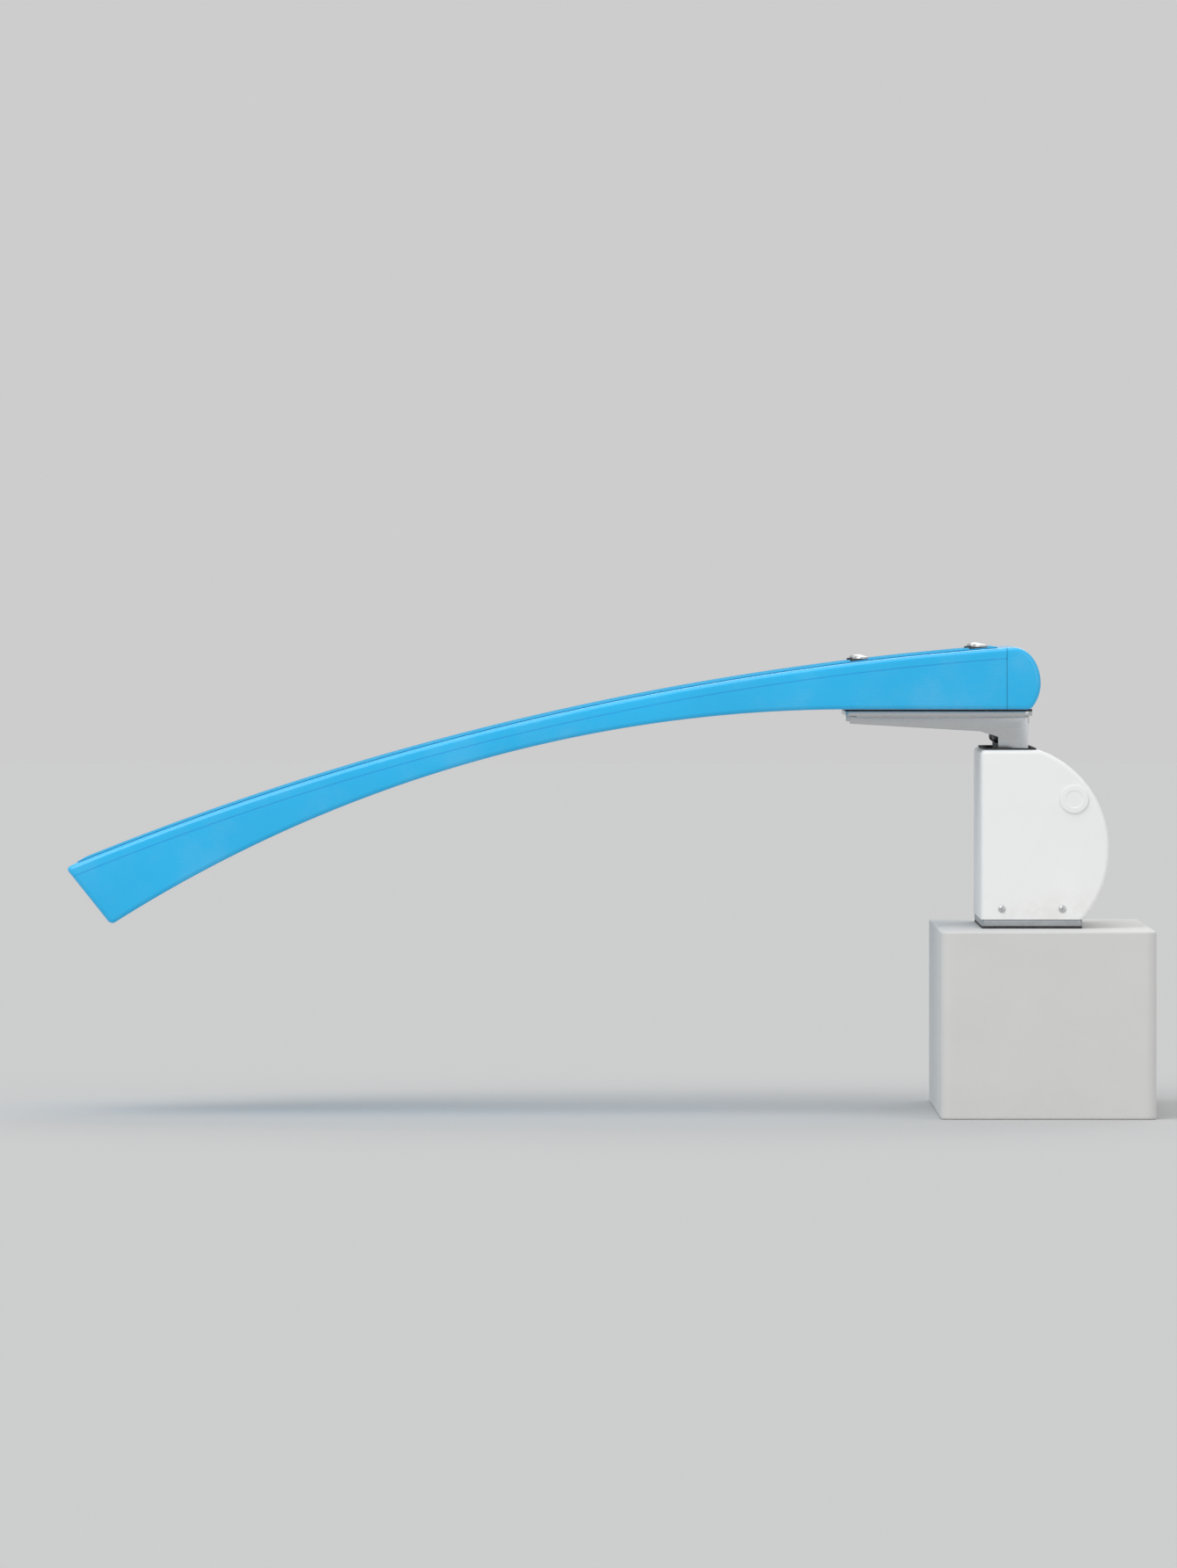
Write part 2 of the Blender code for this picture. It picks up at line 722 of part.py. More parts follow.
def make_mounting_plate(looks):
    """The steel plate that carries the board, and the rubber sheet between them."""
    low = (MOUNTING_FRONT_X, -MOUNTING_WIDTH / 2)
    high = (MOUNTING_REAR_X, MOUNTING_WIDTH / 2)
    outline = rounded_rectangle(low, high, MOUNTING_CORNER)
    holes = [circle((x, y), BOLT_RADIUS + BOLT_PLAY, SMALL_ROUND) for _, x, y in bolt_places()]
    flat_part(
        "mounting_plate",
        [outline, *holes],
        MOUNTING_THICKNESS,
        looks["stainless"],
        "XY",
        MOUNTING_Z + MOUNTING_THICKNESS / 2,
    )
    flat_part(
        "isolation_pad",
        [outline, *holes],
        PAD_THICKNESS,
        looks["rubber"],
        "XY",
        PAD_Z + PAD_THICKNESS / 2,
    )


def make_rocker_arms(looks):
    """The two arms from the mounting plate to the pin, each with a flanged bush in its eye."""
    bore = PIN_RADIUS + RUNNING
    for name, side in SIDES:
        hole = circle(HINGE, bore + BUSH_WALL + GAP, ROUND)
        loops = [arm_outline(), hole]
        flat_part(
            f"rocker_arm_{name}", loops, ARM_THICKNESS, looks["stainless"], "XZ", side * ARM_Y
        )
        half = ARM_THICKNESS / 2
        inner_face = -half - BUSH_FLANGE - GAP
        turned(
            f"hinge_bush_{name}",
            [
                (bore + BUSH_WALL, half),
                (bore + BUSH_WALL, -half - GAP),
                (bore + 2 * BUSH_WALL, -half - GAP),
                (bore + 2 * BUSH_WALL, inner_face),
                (bore, inner_face),
                (bore, half),
                (bore + BUSH_WALL, half),
            ],
            looks["nylon"],
            (HINGE_X, side * ARM_Y, HINGE_Z),
            "Y" if side > 0 else "-Y",
        )


def make_upper_cups(looks):
    wall_inner = CUP_RADIUS - CUP_WALL
    for name, side in SIDES:
        turned(
            f"upper_spring_cup_{name}",
            [
                (0, MOUNTING_Z - GAP),
                (CUP_RADIUS, MOUNTING_Z - GAP),
                (CUP_RADIUS, UPPER_SEAT_Z - CUP_LIP),
                (wall_inner, UPPER_SEAT_Z - CUP_LIP),
                (wall_inner, UPPER_SEAT_Z),
                (0, UPPER_SEAT_Z),
            ],
            looks["stainless"],
            (SPRING_X, side * SPRING_Y, 0),
        )


def make_rebound_stop(looks):
    """The stud that stops the board's upward swing, with its rubber cushion and nut under the shelf."""
    lift = (HINGE_X - SPRING_X) * math.sin(TILT_UP)
    cushion_top = SHELF_Z - SHELF_THICKNESS - lift - 4 * GAP
    cushion_low = cushion_top - CUSHION_HEIGHT
    nut_top = cushion_low - GAP
    tail = nut_top - STUD_NUT - 2 * GAP
    top = MOUNTING_Z - GAP
    turned(
        "rebound_stud",
        [
            (0, top),
            (STUD_FLANGE_RADIUS, top),
            (STUD_FLANGE_RADIUS, top - STUD_FLANGE),
            (STUD_RADIUS, top - STUD_FLANGE),
            (STUD_RADIUS, tail),
            (0, tail),
        ],
        looks["stainless"],
        (SPRING_X, 0, 0),
    )
    turned(
        "rebound_cushion",
        tube_profile(CUSHION_RADIUS, STUD_RADIUS + GAP, cushion_low, cushion_top),
        looks["rubber"],
        (SPRING_X, 0, 0),
    )
    centre = (SPRING_X, 0)
    flat_part(
        "rebound_nut",
        [hexagon(centre, STUD_NUT_FLATS), circle(centre, STUD_RADIUS + GAP)],
        STUD_NUT,
        looks["stainless"],
        "XY",
        nut_top - STUD_NUT / 2,
    )


# Springs and their lower seats


def make_springs(looks):
    """Two compression springs, each with one closed turn at either end."""
    low = LOWER_SEAT_Z + GAP + WIRE_RADIUS
    high = UPPER_SEAT_Z - GAP - WIRE_RADIUS
    closed_pitch = 2 * WIRE_RADIUS + GAP
    open_pitch = (high - low - 2 * closed_pitch) / SPRING_TURNS
    total = SPRING_TURNS + 2
    steps = round(total * COIL_STEPS)
    for name, side in SIDES:
        curve = bpy.data.curves.new(f"coil_spring_{name}", "CURVE")
        curve.dimensions = "3D"
        curve.bevel_depth = WIRE_RADIUS
        curve.bevel_resolution = 2
        curve.use_fill_caps = True
        spline = curve.splines.new("POLY")
        spline.points.add(steps)
        for i, point in enumerate(spline.points):
            turn = total * i / steps
            middle = min(max(turn - 1, 0), SPRING_TURNS)
            height = low + closed_pitch * (turn - middle) + open_pitch * middle
            angle = 2 * math.pi * turn
            point.co = (
                SPRING_RADIUS * math.cos(angle),
                SPRING_RADIUS * math.sin(angle),
                height,
                1,
            )
        location = (SPRING_X, side * SPRING_Y, 0)
        place(f"coil_spring_{name}", curve, looks["spring_steel"], location)


def stop_top():
    """How high the bump stops reach: just under the upper cups' floors with the board fully down."""
    reach = HINGE_X - SPRING_X + STOP_RADIUS
    rise = UPPER_SEAT_Z - HINGE_Z
    return HINGE_Z + rise / math.cos(TILT_DOWN) - reach * math.tan(TILT_DOWN) - 2 * GAP


def make_lower_cups(looks):
    """Each lower cup carries a post inside the spring, with a rubber bump stop on top."""
    wall_inner = CUP_RADIUS - CUP_WALL
    post_top = stop_top() - STOP_HEIGHT - GAP
    for name, side in SIDES:
        centre = (SPRING_X, side * SPRING_Y, 0)
        turned(
            f"lower_spring_cup_{name}",
            [
                (0, post_top),
                (POST_RADIUS, post_top),
                (POST_RADIUS, LOWER_SEAT_Z),
                (wall_inner, LOWER_SEAT_Z),
                (wall_inner, LOWER_SEAT_Z + CUP_LIP),
                (CUP_RADIUS, LOWER_SEAT_Z + CUP_LIP),
                (CUP_RADIUS, SHELF_Z + GAP),
                (0, SHELF_Z + GAP),
            ],
            looks["galvanised"],
            centre,
        )
        chamfer = 0.003
        turned(
            f"bump_stop_{name}",
            [
                (0, stop_top()),
                (STOP_RADIUS - chamfer, stop_top()),
                (STOP_RADIUS, stop_top() - chamfer),
                (STOP_RADIUS - chamfer, stop_top() - STOP_HEIGHT),
                (0, stop_top() - STOP_HEIGHT),
            ],
            looks["rubber"],
            centre,
            steps=SMALL_ROUND,
        )


# Frame inside the pedestal


def make_base(looks):
    """The rubber gasket and the steel base plate, with the four anchor bolts."""
    half_width = PEDESTAL_WIDTH / 2 - PLATE_INSET
    low = (PEDESTAL_FRONT_X + PLATE_INSET, -half_width)
    high = (back_foot_x() - PLATE_INSET, half_width)
    outline = rounded_rectangle(low, high, SHELL_EDGE, 4)
    spots = [
        (sx * ANCHOR_SPACING_X / 2, sy * ANCHOR_SPACING_Y / 2) for sx in (-1, 1) for sy in (-1, 1)
    ]
    holes = [circle(spot, ANCHOR_HOLE_RADIUS, SMALL_ROUND) for spot in spots]
    flat_part(
        "deck_gasket", [outline, *holes], GASKET_THICKNESS, looks["rubber"], "XY", GASKET_THICKNESS / 2
    )
    flat_part(
        "base_plate",
        [outline, *holes],
        BASE_PLATE_THICKNESS,
        looks["galvanised"],
        "XY",
        BASE_PLATE_Z + BASE_PLATE_THICKNESS / 2,
    )
    for number, (x, y) in enumerate(spots, 1):
        washer_top = FRAME_Z + ANCHOR_WASHER
        bolt = turned(
            f"anchor_bolt_{number}",
            [
                (0, washer_top),
                (ANCHOR_WASHER_RADIUS, washer_top),
                (ANCHOR_WASHER_RADIUS, FRAME_Z),
                (ANCHOR_RADIUS, FRAME_Z),
                (ANCHOR_RADIUS, 2 * GAP),
                (0, 2 * GAP),
            ],
            looks["stainless"],
            (x, y, 0),
            steps=SMALL_ROUND,
        )
        overlap = ANCHOR_WASHER / 2
        head = flat_part(
            f"anchor_head_{number}",
            [hexagon((x, y), ANCHOR_FLATS)],
            ANCHOR_HEAD + overlap,
            looks["stainless"],
            "XY",
            washer_top + (ANCHOR_HEAD - overlap) / 2,
        )
        combine(as_mesh(bolt), as_mesh(head), "UNION")


def make_frame(looks):
    """The welded frame: two cheeks, the front bulkhead, the spring shelf and the cross tube."""
    for name, side in SIDES:
        flat_part(
            f"side_frame_{name}",
            [cheek_outline(), circle(HINGE, PIN_RADIUS + GAP)],
            CHEEK_THICKNESS,
            looks["galvanised"],
            "XZ",
            side * CHEEK_Y,
        )
    half_inside = CHEEK_Y - CHEEK_THICKNESS / 2 - GAP
    front_x = PEDESTAL_FRONT_X + BULKHEAD_SETBACK
    shelf_low = SHELF_Z - SHELF_THICKNESS
    sheet = [
        (-half_inside, FRAME_Z),
        (half_inside, FRAME_Z),
        (half_inside, shelf_low - GAP),
        (-half_inside, shelf_low - GAP),
    ]
    flat_part(
        "front_bulkhead",
        [sheet],
        BULKHEAD_THICKNESS,
        looks["galvanised"],
        "YZ",
        front_x + BULKHEAD_THICKNESS / 2,
    )
    rear_x = SPRING_X + SHELF_REACH
    shelf = [
        (front_x, -half_inside),
        (rear_x, -half_inside),
        (rear_x, half_inside),
        (front_x, half_inside),
    ]
    flat_part(
        "spring_shelf",
        [shelf, circle((SPRING_X, 0), STUD_HOLE_RADIUS)],
        SHELF_THICKNESS,
        looks["galvanised"],
        "XY",
        shelf_low + SHELF_THICKNESS / 2,
    )
    turned(
        "cross_tube",
        tube_profile(
            CROSS_TUBE_RADIUS, CROSS_TUBE_RADIUS - CROSS_TUBE_WALL, -half_inside, half_inside
        ),
        looks["galvanised"],
        (CROSS_TUBE_X, 0, FRAME_Z + CROSS_TUBE_Z),
        "Y",
    )


def make_hinge_pin(looks):
    """The pin through both cheeks and both arms, headed on the left and nutted on the right."""
    reach = ARM_Y + ARM_THICKNESS / 2 + RUNNING
    tail = reach + PIN_NUT + PIN_TAIL
    turned(
        "hinge_pin",
        [
            (0, tail),
            (PIN_RADIUS, tail),
            (PIN_RADIUS, -reach),
            (PIN_HEAD_RADIUS, -reach),
            (PIN_HEAD_RADIUS, -reach - PIN_HEAD),
            (0, -reach - PIN_HEAD),
        ],
        looks["stainless"],
        (HINGE_X, 0, HINGE_Z),
        "Y",
    )
    flat_part(
        "pin_nut",
        [hexagon(HINGE, PIN_NUT_FLATS), circle(HINGE, PIN_RADIUS + GAP)],
        PIN_NUT,
        looks["stainless"],
        "XZ",
        reach + PIN_NUT / 2,
    )


# Pedestal shell and its trim


def screw_places():
    """(number, x, side) of the four screws in the shell's skirt."""
    middle = (PEDESTAL_FRONT_X + back_foot_x()) / 2
    spots = [(middle + s * SCREW_SPACING / 2, side) for s in (-1, 1) for _, side in SIDES]
    return [(number, x, side) for number, (x, side) in enumerate(spots, 1)]


def make_pedestal_shell(looks):
    """The moulded cover: open below, with a window on top, pin holes and screw holes in its sides."""
    shell = flat_part(
        "pedestal_shell", [pedestal_outline()], PEDESTAL_WIDTH, looks["moulded_white"], "XZ", 0
    )
    shell = as_mesh(shell)

    def at_foot(point):
        return point.z < FRAME_Z + WELD

    shell = round_edges(shell, SHELL_EDGE, 2, at_foot)
    hollow(shell, SHELL_WALL, at_foot)
    low = (WINDOW_FRONT_X, -WINDOW_HALF_WIDTH)
    high = (WINDOW_REAR_X, WINDOW_HALF_WIDTH)
    window = flat_part(
        "window_cutter",
        [rounded_rectangle(low, high, WINDOW_CORNER)],
        4 * SHELL_WALL,
        looks["moulded_white"],
        "XY",
        SHELL_TOP_Z,
    )
    combine(shell, as_mesh(window), "DIFFERENCE")
    drill(shell, "pin_holes", (HINGE_X, 0, HINGE_Z), PIN_HOLE_RADIUS, 2 * PEDESTAL_WIDTH, "Y")
    for number, x, side in screw_places():
        centre = (x, side * PEDESTAL_WIDTH / 2, FRAME_Z + SCREW_HEIGHT)
        drill(shell, f"skirt_hole_{number}", centre, SCREW_RADIUS + SCREW_PLAY, SHORT_DRILL, "Y")


def make_window_trim(looks):
    """A rubber edge round the window, lying on the shell's top and lining the cut."""
    lip = TRIM_LIP
    width = TRIM_WIDTH
    low = Vector((WINDOW_FRONT_X, -WINDOW_HALF_WIDTH))
    high = Vector((WINDOW_REAR_X, WINDOW_HALF_WIDTH))
    step = Vector((1, 1))
    inner = rounded_rectangle(low + step * lip, high - step * lip, WINDOW_CORNER - lip)
    lining = rounded_rectangle(low + step * GAP, high - step * GAP, WINDOW_CORNER - GAP)
    reach = Vector((width - lip, width))
    outer = rounded_rectangle(low - reach, high + reach, WINDOW_CORNER)
    rim = flat_part(
        "window_trim",
        [outer, inner],
        TRIM_HEIGHT,
        looks["rubber"],
        "XY",
        SHELL_TOP_Z + GAP + TRIM_HEIGHT / 2,
    )
    liner = flat_part(
        "trim_liner",
        [lining, inner],
        TRIM_HEIGHT + SHELL_WALL,
        looks["rubber"],
        "XY",
        SHELL_TOP_Z + GAP + (TRIM_HEIGHT - SHELL_WALL) / 2,
    )
    liner.location.z -= TRIM_HEIGHT / 4
    combine(as_mesh(rim), as_mesh(liner), "UNION")


def make_pin_caps(looks):
    """Snap-in caps over the holes that the pin goes in by."""
    for name, side in SIDES:
        face = PIN_CAP_FACE
        chamfer = 0.001
        turned(
            f"pin_cap_{name}",
            [
                (0, GAP + face),
                (PIN_CAP_RADIUS - chamfer, GAP + face),
                (PIN_CAP_RADIUS, GAP + face - chamfer),
                (PIN_CAP_RADIUS, GAP),
                (PIN_HOLE_RADIUS - GAP, GAP),
                (PIN_HOLE_RADIUS - GAP, -PIN_CAP_PLUG),
                (0, -PIN_CAP_PLUG),
            ],
            looks["moulded_white"],
            (HINGE_X, side * PEDESTAL_WIDTH / 2, HINGE_Z),
            "Y" if side > 0 else "-Y",
        )


def make_skirt_fixings(looks):
    """The angles that the shell's skirt is screwed to, and the screws."""
    leg = PEDESTAL_WIDTH / 2 - SHELL_WALL - GAP
    middle = (PEDESTAL_FRONT_X + back_foot_x()) / 2
    for name, side in SIDES:
        outline = [
            (side * leg, FRAME_Z),
            (side * leg, FRAME_Z + ANGLE_LEG),
            (side * (leg - ANGLE_THICKNESS), FRAME_Z + ANGLE_LEG),
            (side * (leg - ANGLE_THICKNESS), FRAME_Z + ANGLE_THICKNESS),
            (side * (leg - ANGLE_FOOT), FRAME_Z + ANGLE_THICKNESS),
            (side * (leg - ANGLE_FOOT), FRAME_Z),
        ]
        angle = flat_part(
            f"skirt_angle_{name}", [outline], ANGLE_LENGTH, looks["galvanised"], "YZ", middle
        )
        angle = as_mesh(angle)
        for number, x, screw_side in screw_places():
            if screw_side == side:
                centre = (x, side * leg, FRAME_Z + SCREW_HEIGHT)
                hole = f"angle_hole_{number}"
                drill(angle, hole, centre, SCREW_RADIUS + SCREW_PLAY, SHORT_DRILL, "Y")
    tail = SHELL_WALL + GAP + ANGLE_THICKNESS + SCREW_TAIL
    for number, x, side in screw_places():
        turned(
            f"skirt_screw_{number}",
            [
                (0, GAP + SCREW_HEAD),
                (SCREW_HEAD_RADIUS * 0.6, GAP + SCREW_HEAD),
                (SCREW_HEAD_RADIUS, GAP + SCREW_HEAD * 0.4),
                (SCREW_HEAD_RADIUS, GAP),
                (SCREW_RADIUS, GAP),
                (SCREW_RADIUS, -tail),
                (0, -tail),
            ],
            looks["stainless"],
            (x, side * PEDESTAL_WIDTH / 2, FRAME_Z + SCREW_HEIGHT),
            "Y" if side > 0 else "-Y",
            steps=SMALL_ROUND,
        )


def main():
    global parts, cutters
    clear_scene()
    parts = new_collection("diving_board")
    cutters = new_collection("cutters")
    looks = make_materials()
    make_base(looks)
    make_frame(looks)
    make_hinge_pin(looks)
    make_lower_cups(looks)
    make_springs(looks)
    make_pedestal_shell(looks)
    make_window_trim(looks)
    make_pin_caps(looks)
    make_skirt_fixings(looks)
    make_mounting_plate(looks)
    make_rocker_arms(looks)
    make_upper_cups(looks)
    make_rebound_stop(looks)
    make_board_shell(looks)
    make_rear_cap(looks)
    make_stringers(looks)
    make_tread(looks)
    make_board_bolts(looks)


main()
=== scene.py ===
import math
from contextlib import contextmanager

import bmesh
import bpy
from bpy.props import FloatProperty, FloatVectorProperty, IntProperty, PointerProperty
from mathutils import Matrix, Vector


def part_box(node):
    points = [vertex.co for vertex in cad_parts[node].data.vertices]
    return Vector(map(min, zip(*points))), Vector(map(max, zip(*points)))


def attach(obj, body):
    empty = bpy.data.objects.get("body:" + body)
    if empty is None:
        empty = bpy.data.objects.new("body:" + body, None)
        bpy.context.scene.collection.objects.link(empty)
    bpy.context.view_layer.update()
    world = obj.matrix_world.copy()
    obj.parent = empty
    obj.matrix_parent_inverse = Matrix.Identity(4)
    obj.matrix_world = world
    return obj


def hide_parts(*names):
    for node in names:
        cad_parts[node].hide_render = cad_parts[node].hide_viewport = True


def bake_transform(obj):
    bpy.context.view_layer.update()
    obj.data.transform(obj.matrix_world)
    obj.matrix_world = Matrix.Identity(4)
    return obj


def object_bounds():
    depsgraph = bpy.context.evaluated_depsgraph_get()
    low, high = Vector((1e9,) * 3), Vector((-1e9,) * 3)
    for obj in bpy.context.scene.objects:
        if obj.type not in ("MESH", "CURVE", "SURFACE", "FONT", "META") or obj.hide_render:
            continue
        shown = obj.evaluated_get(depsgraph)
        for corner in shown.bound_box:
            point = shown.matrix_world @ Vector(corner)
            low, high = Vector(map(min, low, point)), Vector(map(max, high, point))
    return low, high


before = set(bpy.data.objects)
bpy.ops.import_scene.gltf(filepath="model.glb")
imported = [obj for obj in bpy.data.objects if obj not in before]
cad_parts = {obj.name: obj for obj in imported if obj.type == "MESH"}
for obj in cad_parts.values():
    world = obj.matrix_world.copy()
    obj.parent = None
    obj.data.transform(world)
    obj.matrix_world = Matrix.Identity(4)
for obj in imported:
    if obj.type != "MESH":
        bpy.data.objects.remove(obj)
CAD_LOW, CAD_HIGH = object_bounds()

bl_info = {
    "name": "Diving board finish",
    "version": (1, 0, 0),
    "blender": (4, 5, 0),
    "location": "View3D > Sidebar > Diving board",
    "description": "Builds a diving board's finished pieces and its stage round the packed frame",
    "category": "Object",
}

# Metres, +Z up. The board runs out towards -X; left is -Y. The deck is at z = 0.
SIDES = ("left", "right")
FOUR = (1, 2, 3, 4)
SNUG = 0.0003  # left between pieces that touch
NEAR = 1e-5  # points closer than this count as one
THROUGH = 0.6  # long enough to drill through anything here
EDGE_STEPS = 5  # facets round a moulded edge


def low(node):
    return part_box(node)[0]


def high(node):
    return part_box(node)[1]


def middle(node):
    return (low(node) + high(node)) / 2


def middles(node):
    """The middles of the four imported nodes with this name."""
    return [middle(f"{node}_{number}") for number in FOUR]


def extent(node):
    """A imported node's lowest and highest corners, its middle, and half its size along X."""
    lowest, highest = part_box(node)
    return lowest, highest, middle(node), (highest.x - lowest.x) / 2


def length(name, description, default):
    return FloatProperty(name=name, description=description, default=default, unit="LENGTH")


def strength(name, description, default):
    return FloatProperty(name=name, description=description, default=default, min=0)


def slant(name, description, degrees):
    default = math.radians(degrees)
    return FloatProperty(name=name, description=description, default=default, unit="ROTATION")


def colour(name, description, default):
    return FloatVectorProperty(
        name=name, description=description, default=default, subtype="COLOR", size=3, min=0, max=1
    )


class BoardSizes(bpy.types.PropertyGroup):
    board_length: length("Board length", "Along the deck, from the rear end to the tip", 1.829)
    deck_radius: length("Deck radius", "Of the deck's long arch", 5.60)
    apex_x: length("Apex", "Where the deck would be level, behind the board", 0.353)
    apex_rise: length("Apex rise", "From the flat pad up to the deck's apex", 0.127)
    belly_radius: length("Belly radius", "Of the arch under the board", 2.50)
    pad_front: length("Pad front", "Where the flat pad ends and the belly's arch begins", -0.336)
    tip_rake: slant("Tip rake", "How far the tip's cut leans from square to the deck", 16.4)
    wall: length("Wall", "Of the board's glass-fibre shell", 0.0045)
    edge: length("Edge radius", "Of the board's long edges", 0.009)
    seam_drop: length("Seam drop", "From the deck down to the joint between its two mouldings", 0.019)
    seam_width: length("Seam width", "Of the groove where the two mouldings join", 0.0018)
    seam_depth: length("Seam depth", "Of the same groove", 0.0009)
    spigot: length("Spigot", "How far the rear cap plugs into the shell", 0.022)
    spigot_play: length("Spigot play", "Between the spigot and the shell's rough inside", 0.0033)
    cap_gap: length("Cap gap", "Between the shell and the rear cap", 0.0008)
    nose_drop: length("Nose drop", "From the deck down to the nose's rearmost point", 0.066)
    nose_reach: length("Nose reach", "From the deck's rear edge back to the same point", 0.050)
    heel: length("Heel radius", "Of the cap's lower rear edge", 0.012)
    tread: length("Tread", "Thickness of the gritty sheet", 0.0018)
    tread_corner: length("Tread corner", "Radius of the tread's corners", 0.016)
    steps: IntProperty(name="Steps", description="Sections along the board", default=56, min=8)


class PedestalSizes(bpy.types.PropertyGroup):
    back_radius: length("Back radius", "Of the pedestal's round back", 0.192)
    wall: length("Wall", "Of the moulded cover", 0.005)
    edge: length("Edge radius", "Of the cover's edges", 0.008)
    parting_width: length("Parting line", "Width of the mould's parting line", 0.0014)
    parting_depth: length("Parting depth", "Depth of the mould's parting line", 0.0005)
    rim_x: length("Rim, front and rear", "How far the trim laps over the cover there", 0.005)
    rim_y: length("Rim, sides", "How far the trim laps over the cover there", 0.007)
    window_corner: length("Window corner", "Radius of the window's corners", 0.012)
    behind_trim: length("Behind the trim", "Flat top left between the trim and the round back", 0.005)
    trim_lip: length("Trim lip", "How far the trim stands into the window", 0.002)
    pin_hole: length("Pin hole", "Radius of the holes that the pin goes in by", 0.022)
    screw_hole: length("Screw hole", "Radius of the skirt's screw holes", 0.0034)


class HardwareSizes(bpy.types.PropertyGroup):
    bolt: length("Board bolt", "Radius of the board bolts", 0.006)
    bolt_hole: length("Bolt hole", "Radius of the holes for the board bolts", 0.0065)
    thread: length("Thread", "Pitch of the bolts' threads", 0.00175)
    thread_depth: length("Thread depth", "Of the bolts' threads", 0.0008)
    nut_flats: length("Nut", "Across a board nut's flats", 0.019)
    stud: length("Rebound stud", "Radius of the rebound stud", 0.008)
    anchor: length("Anchor", "Radius of the deck anchors", 0.0078)
    anchor_flats: length("Anchor nut", "Across an anchor nut's flats", 0.024)
    anchor_nut: length("Anchor nut height", "Of the nut on an anchor", 0.0092)
    pin: length("Pin", "Radius of the pin that the board swings on", 0.012)
    screw: length("Skirt screw", "Radius of the skirt's screws", 0.0028)
    wire: length("Spring wire", "Radius of the springs' wire", 0.007)
    coil: length("Coil radius", "Of the springs, to the middle of the wire", 0.025)
    coils: strength("Coils", "Working turns, besides one closed turn at each end", 3.0)
    cup_wall: length("Cup wall", "Of the springs' seats", 0.003)
    cup_floor: length("Cup floor", "Of the springs' seats", 0.005)
    guide: length("Guide post", "Radius of the post inside each spring", 0.009)
    turned_edge: length("Turned edge", "Rounding on turned pieces", 0.0012)
    ease: length("Eased edge", "Rounding on plate edges", 0.0009)
    plate_corner: length("Plate corner", "Radius of the mounting plate's corners", 0.015)
    bead: length("Weld bead", "Radius of the weld beads", 0.0032)


class StageSizes(bpy.types.PropertyGroup):
    plinth_height: length("Plinth height", "Of the block under the pedestal", 0.34)
    camera_distance: length("Camera distance", "From the middle of the board", 24.0)
    lens: length("Lens", "Focal length", 0.300)
    camera_lift: slant("Camera lift", "How far above level it looks from", 1.0)
    lights: strength("Lights", "Strength of all the lights", 1.0)
    air: strength("Air", "Strength of the surrounding light", 0.86)


class Colours(bpy.types.PropertyGroup):
    board: colour("Board", "Gel coat", (0.008, 0.527, 0.965))
    tread: colour("Tread", "Grit on the deck", (0.010, 0.490, 0.910))
    cover: colour("Cover", "Moulded pedestal cover", (0.930, 0.930, 0.925))
    stainless: colour("Stainless", "Plates and fasteners", (0.600, 0.610, 0.620))
    zinc: colour("Zinc", "Galvanised frame", (0.430, 0.450, 0.465))
    spring: colour("Spring", "Powder coat on the springs", (0.035, 0.038, 0.042))
    rubber: colour("Rubber", "Trim, washers, pads and stops", (0.020, 0.020, 0.022))
    nylon: colour("Nylon", "Bushes in the arms", (0.780, 0.760, 0.700))
    timber: colour("Timber", "Stringers in the board", (0.480, 0.300, 0.150))
    dust: colour("Dust", "What settles on the pedestal's foot", (0.420, 0.370, 0.300))
    plinth: colour("Plinth", "Block that stands for the pool deck", (0.700, 0.695, 0.680))
    floor: colour("Floor", "Studio floor", (0.560, 0.560, 0.556))
    backdrop: colour("Backdrop", "Seen beyond the floor", (0.610, 0.610, 0.610))
    air: colour("Air", "Light from all round the studio", (0.700, 0.710, 0.720))


# Modelling by hand

TURNS = {"X": (0, math.pi / 2, 0), "Y": (-math.pi / 2, 0, 0), "Z": (0, 0, 0)}


def only(obj):
    """Object mode, with this object alone selected and active."""
    if bpy.context.object and bpy.context.object.mode != "OBJECT":
        bpy.ops.object.mode_set(mode="OBJECT")
    bpy.ops.object.select_all(action="DESELECT")
    obj.select_set(True)
    bpy.context.view_layer.objects.active = obj


def applied(obj):
    """The object, with its place and turn moved into its mesh."""
    only(obj)
    bpy.ops.object.transform_apply(location=True, rotation=True, scale=True)
    return obj


def settled(name):
    """The object just added, named and applied."""
    obj = bpy.context.object
    obj.name = obj.data.name = name
    return applied(obj)


@contextmanager
def editing(obj):
    """Edit mode on the object, with all of it selected."""
    only(obj)
    bpy.ops.object.mode_set(mode="EDIT")
    bpy.ops.mesh.select_mode(type="VERT")
    bpy.ops.mesh.select_all(action="SELECT")
    yield
    bpy.ops.object.mode_set(mode="OBJECT")


def pick(obj, kind, test):
    """In edit mode, selects only the vertices, edges or faces that pass the test."""
    bpy.ops.mesh.select_mode(type=kind)
    bpy.ops.mesh.select_all(action="DESELECT")
    work = bmesh.from_edit_mesh(obj.data)
    for part in {"VERT": work.verts, "EDGE": work.edges, "FACE": work.faces}[kind]:
        if test(part):
            part.select_set(True)
    work.select_flush_mode()
    bmesh.update_edit_mesh(obj.data)


def extrude(step):
    bpy.ops.mesh.extrude_region_move(TRANSFORM_OT_translate={"value": step})


def round_edges(obj, radius, test, segments=EDGE_STEPS):
    """In edit mode, rounds the sharp edges whose middle passes the test."""

    def chosen(edge):
        centre = (edge.verts[0].co + edge.verts[1].co) / 2
        return edge.calc_face_angle(0) > math.radians(50) and test(centre)

    pick(obj, "EDGE", chosen)
    bpy.ops.mesh.bevel(offset=radius, segments=segments, affect="EDGES")


